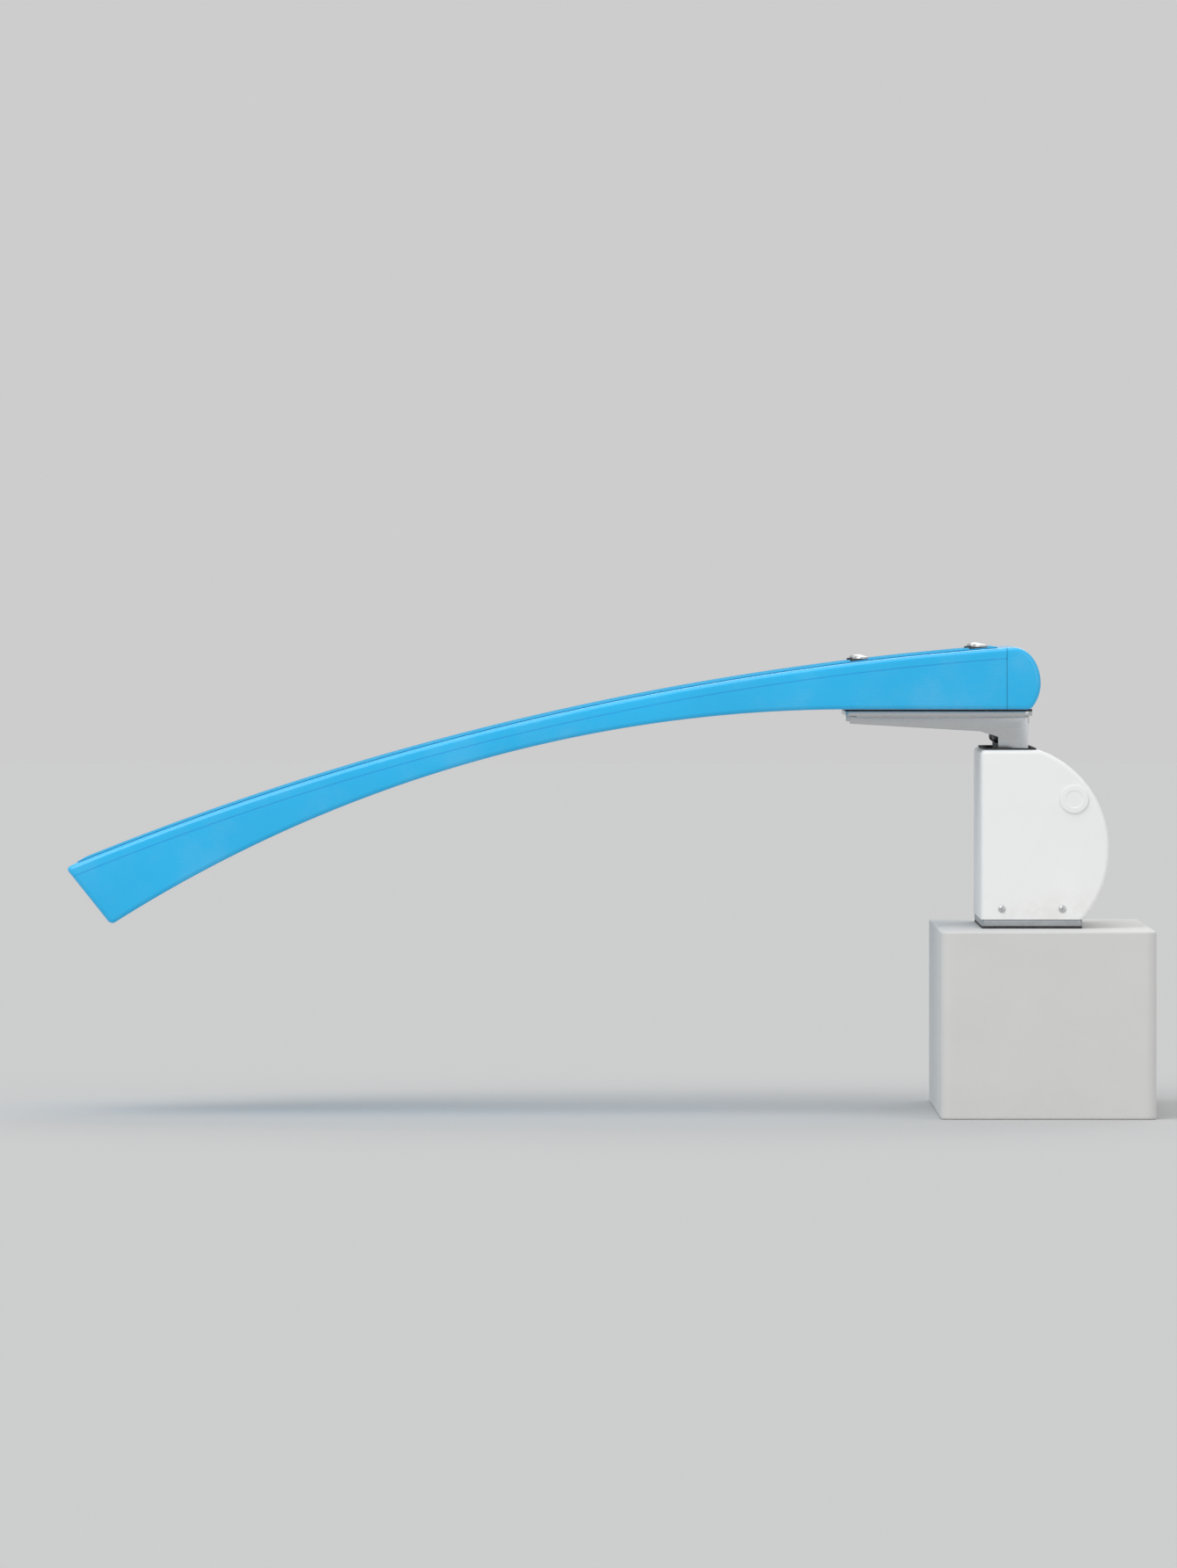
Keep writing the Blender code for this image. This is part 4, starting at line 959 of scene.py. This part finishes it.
class BOARD_OT_bolts(bpy.types.Operator):
    """Builds the four board bolts with their wedge washers and nuts"""

    bl_idname = "board.bolts"
    bl_label = "Board bolts"

    def execute(self, context):
        hardware = context.scene.hardware_sizes
        line = Outline(context.scene.board_sizes)
        for pair in ((1, 2), (3, 4)):
            bolt = self.make_bolt(pair[0], hardware)
            mount_copies(bolt, "domed_bolt", "board_bolt", pair, "board", "stainless")
            washer = self.make_washer(pair[0], hardware, line)
            mount_copies(washer, "wedge_washer", "bolt_washer", pair, "board", "rubber")
        lowest, highest, place, _ = extent("board_nut_1")
        bore = hardware.bolt + SNUG
        nut = hexagon_nut("nut_model", place, lowest.z, highest.z, hardware.nut_flats, bore)
        mount_copies(nut, "hex_nut", "board_nut", FOUR, "board", "stainless")
        return {"FINISHED"}

    def make_bolt(self, number, hardware):
        """A carriage bolt: its thread runs a little way up past the nut."""
        lowest, highest, place, head = extent(f"board_bolt_{number}")
        nut_top = high(f"board_nut_{number}").z
        seat = high(f"bolt_washer_{number}").z + SNUG
        shank = hardware.bolt
        rim = hardware.turned_edge
        profile = [
            (shank * 0.72, lowest.z),
            *thread(shank, lowest.z + 0.0008, nut_top, hardware.thread, hardware.thread_depth),
            (shank, nut_top + 0.003),
            (shank, seat),
            (head - 0.0004, seat),
            (head, seat + 0.0004),
            *quarter(head, highest.z - seat - rim, 0, seat + rim, 9)[:-1],
            (head * 0.05, highest.z),
        ]
        return turned("bolt_model", profile, place)

    def make_washer(self, number, hardware, line):
        """A round rubber washer, cut underneath to the deck's slope."""
        lowest, highest, place, outer = extent(f"bolt_washer_{number}")
        bore, edge = hardware.bolt_hole, hardware.turned_edge
        bottom = lowest.z - 0.003  # past the slope, which is cut afterwards
        profile = [
            (outer, bottom),
            *quarter(edge, edge, outer - edge, highest.z - edge),
            (bore, highest.z),
            (bore, bottom),
            (outer, bottom),
        ]
        washer = turned("washer_model", profile, place)
        deck = line.deck_at(place.x)
        normal = (deck - line.centre).normalized()
        with editing(washer):
            slice_off(deck + normal * SNUG, normal, "clear_inner")
        return washer


class BOARD_OT_rocker(bpy.types.Operator):
    """Builds the mounting plate and its pad, and the welded arms"""

    bl_idname = "board.rocker"
    bl_label = "Rocker"

    def execute(self, context):
        hardware = context.scene.hardware_sizes
        for node, name, slot, edge in (
            ("mounting_plate", "mounting_steel", "stainless", hardware.ease),
            ("isolation_pad", "isolation_rubber", "rubber", 0.0005),
        ):
            plate = rounded_box(name, *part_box(node), hardware.plate_corner)
            drill(plate, middles("board_bolt"), hardware.bolt_hole)
            ease(plate, edge, 2, 60)
            mount(plate, "board", slot, node)
        arm = cad_copy("rocker_arm_left", "arm_model")
        ease(arm, hardware.ease, 2, 30)
        mount_copies(arm, "swan_arm", "rocker_arm", SIDES, "board", "stainless")
        bead = self.make_weld(hardware)
        for side in SIDES:
            for face, corner in zip("ab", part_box(f"rocker_arm_{side}")):
                piece = copied(bead, f"weld_{side}_{face}", (0, corner.y, 0))
                mount(piece, "board", "stainless", smooth=80)
        bpy.data.objects.remove(bead)
        return {"FINISHED"}

    def make_weld(self, hardware):
        """A rippled fillet along the arm's top, where it meets the plate."""
        lowest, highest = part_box("rocker_arm_left")
        inset = 0.012
        ripple = 0.0026
        start = lowest.x + inset
        count = round((high("mounting_plate").x - inset - start) / ripple)
        profile = []
        for i in range(count):
            at = start + ripple * i
            profile += [(hardware.bead * 0.84, at), (hardware.bead, at + ripple * 0.55)]
        return turned("bead_model", profile, (0, 0, highest.z - 0.0006), "X", 10)


class BOARD_OT_springs(bpy.types.Operator):
    """Winds the two coil springs, their ends ground flat"""

    bl_idname = "board.springs"
    bl_label = "Springs"

    def execute(self, context):
        hardware = context.scene.hardware_sizes
        lowest, highest, start, _ = extent("coil_spring_left")
        model = self.wind(hardware, start, lowest.z, highest.z)
        for side in SIDES:
            place = middle(f"coil_spring_{side}")
            spring = copied(model, f"spring_coil_{side}", place - start)
            dress(spring, "spring_steel", smooth=40)
            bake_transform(spring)
            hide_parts(f"coil_spring_{side}")
        bpy.data.objects.remove(model)
        return {"FINISHED"}

    def wind(self, hardware, place, lowest, highest):
        """One closed turn at each end and the working turns between them, easing into each other."""
        wire = hardware.wire
        bottom, top = lowest + 0.55 * wire, highest - 0.55 * wire  # the ends are ground away to here
        closed = 1.9 * wire  # a closed turn presses on the next
        opened = (top - bottom - 2 * closed) / hardware.coils
        total = hardware.coils + 2
        per_turn = 40
        count = round(total * per_turn)
        pitches = []
        for i in range(count):
            turn = (i + 0.5) / per_turn
            inward = min(turn, total - turn)
            share = min(1.0, max(0.0, (inward - 0.75) / 0.5))  # opens over the second half turn
            pitches.append(closed + (opened - closed) * share * share * (3 - 2 * share))
        scale = (top - bottom) / sum(pitches)
        curve = bpy.data.curves.new("spring_model", "CURVE")
        curve.dimensions = "3D"
        curve.bevel_depth = wire
        curve.bevel_resolution = 6
        curve.use_fill_caps = True
        spline = curve.splines.new("POLY")
        spline.points.add(count)
        for i, point in enumerate(spline.points):
            turn = 2 * math.pi * i / per_turn
            out = hardware.coil * Vector((math.cos(turn), math.sin(turn)))
            point.co = (place.x + out.x, place.y + out.y, bottom + sum(pitches[:i]) * scale, 1)
        obj = bpy.data.objects.new("spring_model", curve)
        bpy.context.scene.collection.objects.link(obj)
        only(obj)
        bpy.ops.object.convert(target="MESH")
        spring = bpy.context.object
        with editing(spring):
            bpy.ops.mesh.remove_doubles(threshold=NEAR)
            slice_off((0, 0, lowest), (0, 0, -1))
            slice_off((0, 0, highest), (0, 0, 1))
        outwards(spring)
        return spring


class BOARD_OT_seats(bpy.types.Operator):
    """Turns the springs' seats and the rubber bump stops"""

    bl_idname = "board.seats"
    bl_label = "Spring seats"

    def execute(self, context):
        hardware = context.scene.hardware_sizes
        for model, name, node, body, slot in (
            (self.upper(hardware), "upper_cup", "upper_spring_cup", "board", "stainless"),
            (self.lower(hardware), "lower_cup", "lower_spring_cup", "pedestal", "galvanised"),
            (self.stop(), "rubber_stop", "bump_stop", "pedestal", "rubber"),
        ):
            mount_copies(model, name, node, SIDES, body, slot)
        return {"FINISHED"}

    def upper(self, hardware):
        """The cup that holds the spring's top, under the plate."""
        lowest, highest, place, outer = extent("upper_spring_cup_left")
        inner = outer - hardware.cup_wall
        roof = highest.z - hardware.cup_floor
        edge = hardware.turned_edge
        profile = [
            (outer - edge, highest.z),
            (outer, highest.z - edge),
            (outer, lowest.z + edge),
            *quarter(edge, -edge, outer - edge, lowest.z + edge, 3)[1:],
            (inner + 0.0003, lowest.z),
            (inner, lowest.z + 0.0003),
            (inner, roof - 0.001),
            (inner - 0.001, roof),
            (0.004, roof),
        ]
        return turned("upper_model", profile, place, sides=64)

    def lower(self, hardware):
        """The lower cup with its guide post, on which the bump stop sits."""
        lowest, highest, place, outer = extent("lower_spring_cup_left")
        inner = outer - hardware.cup_wall
        inside = lowest.z + hardware.cup_floor
        lip = inside + 0.010
        post, edge = hardware.guide, hardware.turned_edge
        profile = [
            (outer - edge, lowest.z),
            (outer, lowest.z + edge),
            (outer, lip - edge),
            *quarter(edge, edge, outer - edge, lip - edge, 3)[1:],
            (inner, lip),
            (inner, inside + 0.001),
            (inner - 0.001, inside),
            (post + 0.003, inside),
            (post, inside + 0.003),
            (post, highest.z - edge / 2),
            (post - edge / 2, highest.z),
        ]
        return turned("lower_model", profile, place, sides=64)

    def stop(self):
        """A rubber stop with a waist, so that it gives before it stops."""
        lowest, highest, place, radius = extent("bump_stop_left")
        tall = highest.z - lowest.z
        waist = ((0, 0.8), (0.05, 0.86), (0.3, 1), (0.48, 0.97), (0.56, 0.84), (0.64, 0.97))
        profile = [(radius * size, lowest.z + tall * share) for share, size in waist]
        crown = tall * 0.14
        profile += quarter(radius * 0.30, crown, radius * 0.68, highest.z - crown)
        return turned("stop_model", profile, place)


class BOARD_OT_rebound(bpy.types.Operator):
    """Turns the rebound stud with its cushion and nut"""

    bl_idname = "board.rebound"
    bl_label = "Rebound stop"

    def execute(self, context):
        lowest, highest, place, flange = extent("rebound_stud")
        nut_low, nut_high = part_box("rebound_nut")
        shank = context.scene.hardware_sizes.stud
        thick, fillet, edge = 0.004, 0.003, 0.0008
        pitch, deep = 0.002, 0.0009
        seat = highest.z - thick
        profile = [
            (shank * 0.75, lowest.z),
            *thread(shank, lowest.z + pitch / 2, nut_high.z, pitch, deep),
            (shank, nut_high.z + pitch / 2),
            (shank, seat - fillet),
            (shank + fillet, seat),
            (flange - edge, seat),
            (flange, seat + edge),
            (flange, highest.z),
        ]
        mount(turned("rebound_rod", profile, place), "board", "stainless", "rebound_stud")
        bottom, top, place, radius = extent("rebound_cushion")
        swell = 0.003
        bore = shank + SNUG
        ring = [
            (radius - swell, bottom.z),
            (radius, bottom.z + swell),
            (radius, top.z - swell),
            (radius - swell, top.z),
            (bore, top.z),
            (bore, bottom.z),
            (radius - swell, bottom.z),
        ]
        mount(turned("rebound_buffer", ring, place), "board", "rubber", "rebound_cushion")
        flats = nut_high.y - nut_low.y
        nut = hexagon_nut("rebound_hex_nut", place, nut_low.z, nut_high.z, flats, bore)
        mount(nut, "board", "stainless", "rebound_nut")
        return {"FINISHED"}


class BOARD_OT_cover(bpy.types.Operator):
    """Builds the pedestal's moulded cover: flat front and top, round back, window and holes"""

    bl_idname = "board.cover"
    bl_label = "Pedestal cover"

    def execute(self, context):
        sizes = context.scene.pedestal_sizes
        lowest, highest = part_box("pedestal_shell")
        trim_low, trim_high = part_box("window_trim")
        radius = sizes.back_radius
        centre_x = highest.x - radius
        top_end = trim_high.x + sizes.behind_trim
        centre_z = highest.z - math.sqrt(radius**2 - (top_end - centre_x) ** 2)
        centre = (centre_x, 0, centre_z)
        cover = rod("moulded_cover", centre, radius, highest.y - lowest.y, "Y", 220)
        foot = lowest.z + NEAR
        half = sizes.parting_width / 2
        with editing(cover):
            slice_off(lowest, (-1, 0, 0))
            slice_off(highest, (0, 0, 1))
            slice_off(lowest, (0, 0, -1))
            round_edges(cover, sizes.edge, lambda c: c.z > foot)
            pick(cover, "FACE", lambda f: all(v.co.z < foot for v in f.verts))
            bpy.ops.mesh.delete(type="FACE")
            for y in (-half, half):
                bpy.ops.mesh.select_all(action="SELECT")
                bpy.ops.mesh.bisect(plane_co=(0, y, 0), plane_no=(0, 1, 0))
        hollow(cover, sizes.wall)
        groove(cover, sizes.parting_depth, lambda c: abs(c.y) < half and c.z > foot)
        rim = Vector((sizes.rim_x, sizes.rim_y, 0))
        window_low, window_high = trim_low + rim, trim_high - rim
        past = 0.02  # the cutter's reach over and under the top
        window_low.z, window_high.z = highest.z - past, highest.z + past
        cut(cover, rounded_box("window_cut", window_low, window_high, sizes.window_corner))
        pin = middle("hinge_pin")
        drill(cover, [(pin.x, 0, pin.z)], sizes.pin_hole, THROUGH, "Y", 96)
        drill(cover, middles("skirt_screw"), sizes.screw_hole, 0.04, "Y")
        mount(cover, "pedestal", "moulded_white", "pedestal_shell", ["moulded_white"])
        return {"FINISHED"}


class BOARD_OT_trim(bpy.types.Operator):
    """Builds the rubber edge round the cover's window"""

    bl_idname = "board.trim"
    bl_label = "Window trim"

    def execute(self, context):
        sizes = context.scene.pedestal_sizes
        lowest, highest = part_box("window_trim")
        corner = sizes.window_corner
        rim_z = high("pedestal_shell").z + SNUG
        rim = rounded_box("window_rubber", (lowest.x, lowest.y, rim_z), highest, corner)
        play = Vector((sizes.rim_x + SNUG, sizes.rim_y + SNUG, 0))
        liner_top = highest - play - Vector((0, 0, 0.001))
        cut(rim, rounded_box("liner", lowest + play, liner_top, corner), "UNION")
        lip = Vector((sizes.rim_x + sizes.trim_lip, sizes.rim_y + sizes.trim_lip, -0.02))
        cut(rim, rounded_box("opening", lowest + lip, highest - lip, corner - sizes.trim_lip))
        ease(rim, 0.0009, 3, 60)
        mount(rim, "pedestal", "rubber", "window_trim")
        return {"FINISHED"}


class BOARD_OT_covers(bpy.types.Operator):
    """Builds the caps over the pin and the skirt's screws"""

    bl_idname = "board.covers"
    bl_label = "Caps and screws"

    def execute(self, context):
        screw = self.make_screw(context.scene.hardware_sizes.screw)
        for model, name, node, labels, slot in (
            (self.make_cap(), "snap_cap", "pin_cap", ("right", "left"), "moulded_white"),
            (screw, "pan_screw", "skirt_screw", (2, 1, 3, 4), "stainless"),
        ):
            mount_copies(model, name, node, labels, "pedestal", slot, facing=True)
        return {"FINISHED"}

    def make_cap(self):
        """A snap-in cap with a shallow dish in its face."""
        lowest, highest, place, radius = extent("pin_cap_right")
        face = high("pedestal_shell").y + SNUG
        plug = radius - 0.0044
        wall = 0.002
        edge = 0.0014
        dish = highest.y - 0.0009
        profile = [
            (plug - wall, lowest.y),
            (plug - 0.0006, lowest.y),
            (plug, lowest.y + 0.0006),
            (plug, face),
            (radius - 0.0006, face),
            (radius, face + 0.0006),
            *quarter(edge, edge, radius - edge, highest.y - edge, 4),
            (radius * 0.62, highest.y),
            (radius * 0.58, dish),
            (radius * 0.10, dish),
        ]
        return turned("cap_model", profile, place, "Y", 64)

    def make_screw(self, shank):
        """A pan head with a cross recess."""
        lowest, highest, place, radius = extent("skirt_screw_2")
        face = high("pedestal_shell").y + SNUG
        crown = face + 0.0008
        profile = [
            (0.0006, lowest.y),
            (shank * 0.7, lowest.y + 0.0012),
            *thread(shank, lowest.y + 0.0013, face - 0.0004, 0.0011, 0.0006),
            (shank, face),
            (radius - 0.0003, face),
            (radius, face + 0.0003),
            *quarter(radius, highest.y - crown, 0, crown, 6)[:-1],
            (radius * 0.06, highest.y),
        ]
        screw = turned("screw_model", profile, place, "Y", 32)
        long, wide, deep = 0.0062, 0.0012, 0.0016
        top = Vector((place.x, highest.y, place.z))
        for slot in ((long, wide), (wide, long)):
            reach = Vector((slot[0] / 2, deep, slot[1] / 2))
            cut(screw, box("slot", top - reach, top + reach))
        return screw


class BOARD_OT_frame(bpy.types.Operator):
    """Finishes the pedestal's galvanised frame, its pin, anchors and gasket"""

    bl_idname = "board.frame"
    bl_label = "Pedestal frame"

    def execute(self, context):
        hardware = context.scene.hardware_sizes
        plates = {
            "base_plate": "galvanised_base",
            "side_frame_left": "cheek_plate_left",
            "side_frame_right": "cheek_plate_right",
            "front_bulkhead": "bulkhead_plate",
            "spring_shelf": "shelf_plate",
            "skirt_angle_left": "skirt_bracket_left",
            "skirt_angle_right": "skirt_bracket_right",
            "cross_tube": "tie_tube",
        }
        for node, name in plates.items():
            self.finish_copy(node, name, "galvanised", hardware.ease)
        self.finish_copy("deck_gasket", "deck_rubber", "rubber", 0.0008)
        anchor = self.make_anchor(hardware)
        mount_copies(anchor, "deck_anchor", "anchor_bolt", FOUR, "pedestal", "stainless")
        mount(self.make_pin(hardware), "pedestal", "stainless", "hinge_pin")
        self.finish_copy("pin_nut", "pin_hex_nut", "stainless", 0.0008)
        return {"FINISHED"}

    def finish_copy(self, node, name, slot, edge):
        """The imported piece's own shape, with its edges eased."""
        piece = cad_copy(node, name)
        ease(piece, edge)
        mount(piece, "pedestal", slot, node)

    def make_anchor(self, hardware):
        """An anchor's rod and washer, with its nut as a closed shell of its own."""
        lowest, highest, place, washer = extent("anchor_bolt_1")
        shank = hardware.anchor
        seat = high("base_plate").z + SNUG
        thick, edge, bevel = 0.003, 0.0006, 0.001
        top = seat + thick
        profile = [
            (shank, lowest.z),
            (shank, seat),
            (washer - edge, seat),
            (washer, seat + edge),
            (washer, top - edge),
            (washer - edge, top),
            (shank, top),
            (shank, highest.z - bevel),
            (shank - bevel, highest.z),
        ]
        anchor = turned("anchor_model", profile, place)
        gap = SNUG / 3
        bottom = top + gap
        nut_top = bottom + min(hardware.anchor_nut, highest.z - top - bevel / 2)
        flats = hardware.anchor_flats
        nut = hexagon_nut("anchor_nut", place, bottom, nut_top, flats, shank + gap)
        only(anchor)
        nut.select_set(True)
        bpy.ops.object.join()
        return anchor

    def make_pin(self, hardware):
        """The pin that the board swings on, threaded for its nut."""
        lowest, highest, place, head = extent("hinge_pin")
        shank = hardware.pin
        nut_start = low("pin_nut").y
        thick, edge, inner_edge = 0.008, 0.0014, 0.0006
        pitch, deep = 0.002, 0.001
        under = lowest.y + thick
        profile = [
            (head - edge, lowest.y),
            (head, lowest.y + edge),
            (head, under - inner_edge),
            (head - inner_edge, under),
            (shank, under),
            (shank, nut_start - pitch),
            *thread(shank, nut_start - pitch / 2, highest.y - pitch / 2, pitch, deep),
            (shank * 0.8, highest.y),
        ]
        return turned("swing_pin", profile, place, "Y")


class BOARD_OT_hidden(bpy.types.Operator):
    """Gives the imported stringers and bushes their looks"""

    bl_idname = "board.hidden"
    bl_label = "Stringers and bushes"

    def execute(self, context):
        for kind, name, labels in (
            ("stringer", "timber", ("left", "centre", "right")),
            ("hinge_bush", "nylon", SIDES),
        ):
            for label in labels:
                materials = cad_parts[f"{kind}_{label}"].data.materials
                materials.clear()
                materials.append(finish(name))
        return {"FINISHED"}


class BOARD_OT_stage(bpy.types.Operator):
    """Sets up the plinth, the floor, the lights and the camera"""

    bl_idname = "board.stage"
    bl_label = "Stage"

    def execute(self, context):
        scene = context.scene
        sizes = scene.stage_sizes
        ground = -sizes.plinth_height
        block = rounded_box("plinth", (-0.175, -0.42, ground), (0.215, 0.42, 0), 0.02)
        ease(block, 0.004, 3, 60)
        far, thick = 40, 0.1
        for piece in (block, box("floor", (-far, -far, ground - thick), (far, far, ground))):
            piece.data.materials.append(finish(piece.name))
        target = Vector(((CAD_LOW.x + CAD_HIGH.x) / 2, 0, (CAD_LOW.z + CAD_HIGH.z) / 2))
        # Every light is far off, so the floor is lit evenly. Each line: the way to the light, the
        # degrees it spreads over, its strength and its tint.
        for name, way, spread, power, tint in (
            ("key", (-2.6, -3.6, 3.4), 32, 0.49, (1.0, 0.985, 0.96)),
            ("fill", (2.9, -3.4, 1.3), 42, 0.25, (0.93, 0.96, 1.0)),
            ("rim", (0.6, 3.2, 2.6), 35, 0.48, (1.0, 1.0, 1.0)),
            ("top", (-0.6, -0.2, 3.8), 48, 0.43, (1.0, 1.0, 1.0)),
            ("ceiling", (-1.5, -1.7, 3.2), 50, 0.55, (1.0, 1.0, 1.0)),
        ):
            turn = (-Vector(way)).to_track_quat("-Z", "Y").to_euler()
            bpy.ops.object.light_add(type="SUN", location=target + Vector(way), rotation=turn)
            lamp = bpy.context.object
            lamp.name = f"{name}_light"
            lamp.data.angle = math.radians(spread)
            lamp.data.energy = sizes.lights * power
            lamp.data.color = tint
        self.fill_air(scene, sizes)
        away = Vector((0, -math.cos(sizes.camera_lift), math.sin(sizes.camera_lift)))
        turn = (-away).to_track_quat("-Z", "Y").to_euler()
        place = target + away * sizes.camera_distance
        bpy.ops.object.camera_add(location=place, rotation=turn)
        camera = bpy.context.object
        camera.name = "side_camera"
        camera.data.lens = sizes.lens * 1000
        camera.data.clip_end = 100
        scene.camera = camera
        scene.view_settings.view_transform = "Standard"
        return {"FINISHED"}

    def fill_air(self, scene, sizes):
        """Light from all round. Beyond the floor the camera sees the floor's own tone."""
        scene.world = bpy.data.worlds.new("studio")
        scene.world.use_nodes = True
        tree = scene.world.node_tree
        air = tree.nodes["Background"]
        air.inputs["Color"].default_value = solid(scene.board_colours.air)
        air.inputs["Strength"].default_value = sizes.air
        nodes = Nodes(tree)
        seen = nodes.put("Background", {"Color": solid(scene.board_colours.backdrop)})
        path = nodes.put("LightPath").outputs["Is Camera Ray"]
        both = nodes.put("MixShader", {0: path, 1: air.outputs[0], 2: seen.outputs[0]})
        tree.links.new(both.outputs[0], tree.nodes["World Output"].inputs["Surface"])


PIECES = (
    BOARD_OT_shell, BOARD_OT_rear_cap, BOARD_OT_tread, BOARD_OT_bolts, BOARD_OT_rocker,
    BOARD_OT_springs, BOARD_OT_seats, BOARD_OT_rebound, BOARD_OT_cover, BOARD_OT_trim,
    BOARD_OT_covers, BOARD_OT_frame, BOARD_OT_hidden, BOARD_OT_stage,
)

SIZES = {
    "board_sizes": BoardSizes,
    "pedestal_sizes": PedestalSizes,
    "hardware_sizes": HardwareSizes,
    "stage_sizes": StageSizes,
    "board_colours": Colours,
}


class BOARD_PT_panel(bpy.types.Panel):
    bl_label = "Diving board"
    bl_idname = "BOARD_PT_panel"
    bl_space_type = "VIEW_3D"
    bl_region_type = "UI"
    bl_category = "Diving board"

    def draw(self, context):
        for name in SIZES:
            group = getattr(context.scene, name)
            part = self.layout.box()
            part.label(text=name.replace("_", " ").capitalize())
            for key in group.bl_rna.properties.keys():
                if key not in ("rna_type", "name"):
                    part.prop(group, key)
        for piece in PIECES:
            self.layout.operator(piece.bl_idname)


def register():
    for kind in (*SIZES.values(), *PIECES, BOARD_PT_panel):
        bpy.utils.register_class(kind)
    for name, kind in SIZES.items():
        setattr(bpy.types.Scene, name, PointerProperty(type=kind))


def unregister():
    for name in SIZES:
        delattr(bpy.types.Scene, name)
    for kind in (BOARD_PT_panel, *reversed(PIECES), *SIZES.values()):
        bpy.utils.unregister_class(kind)


def main():
    register()
    for piece in PIECES:
        group, name = piece.bl_idname.split(".")
        getattr(getattr(bpy.ops, group), name)()


if __name__ == "__main__":
    main()
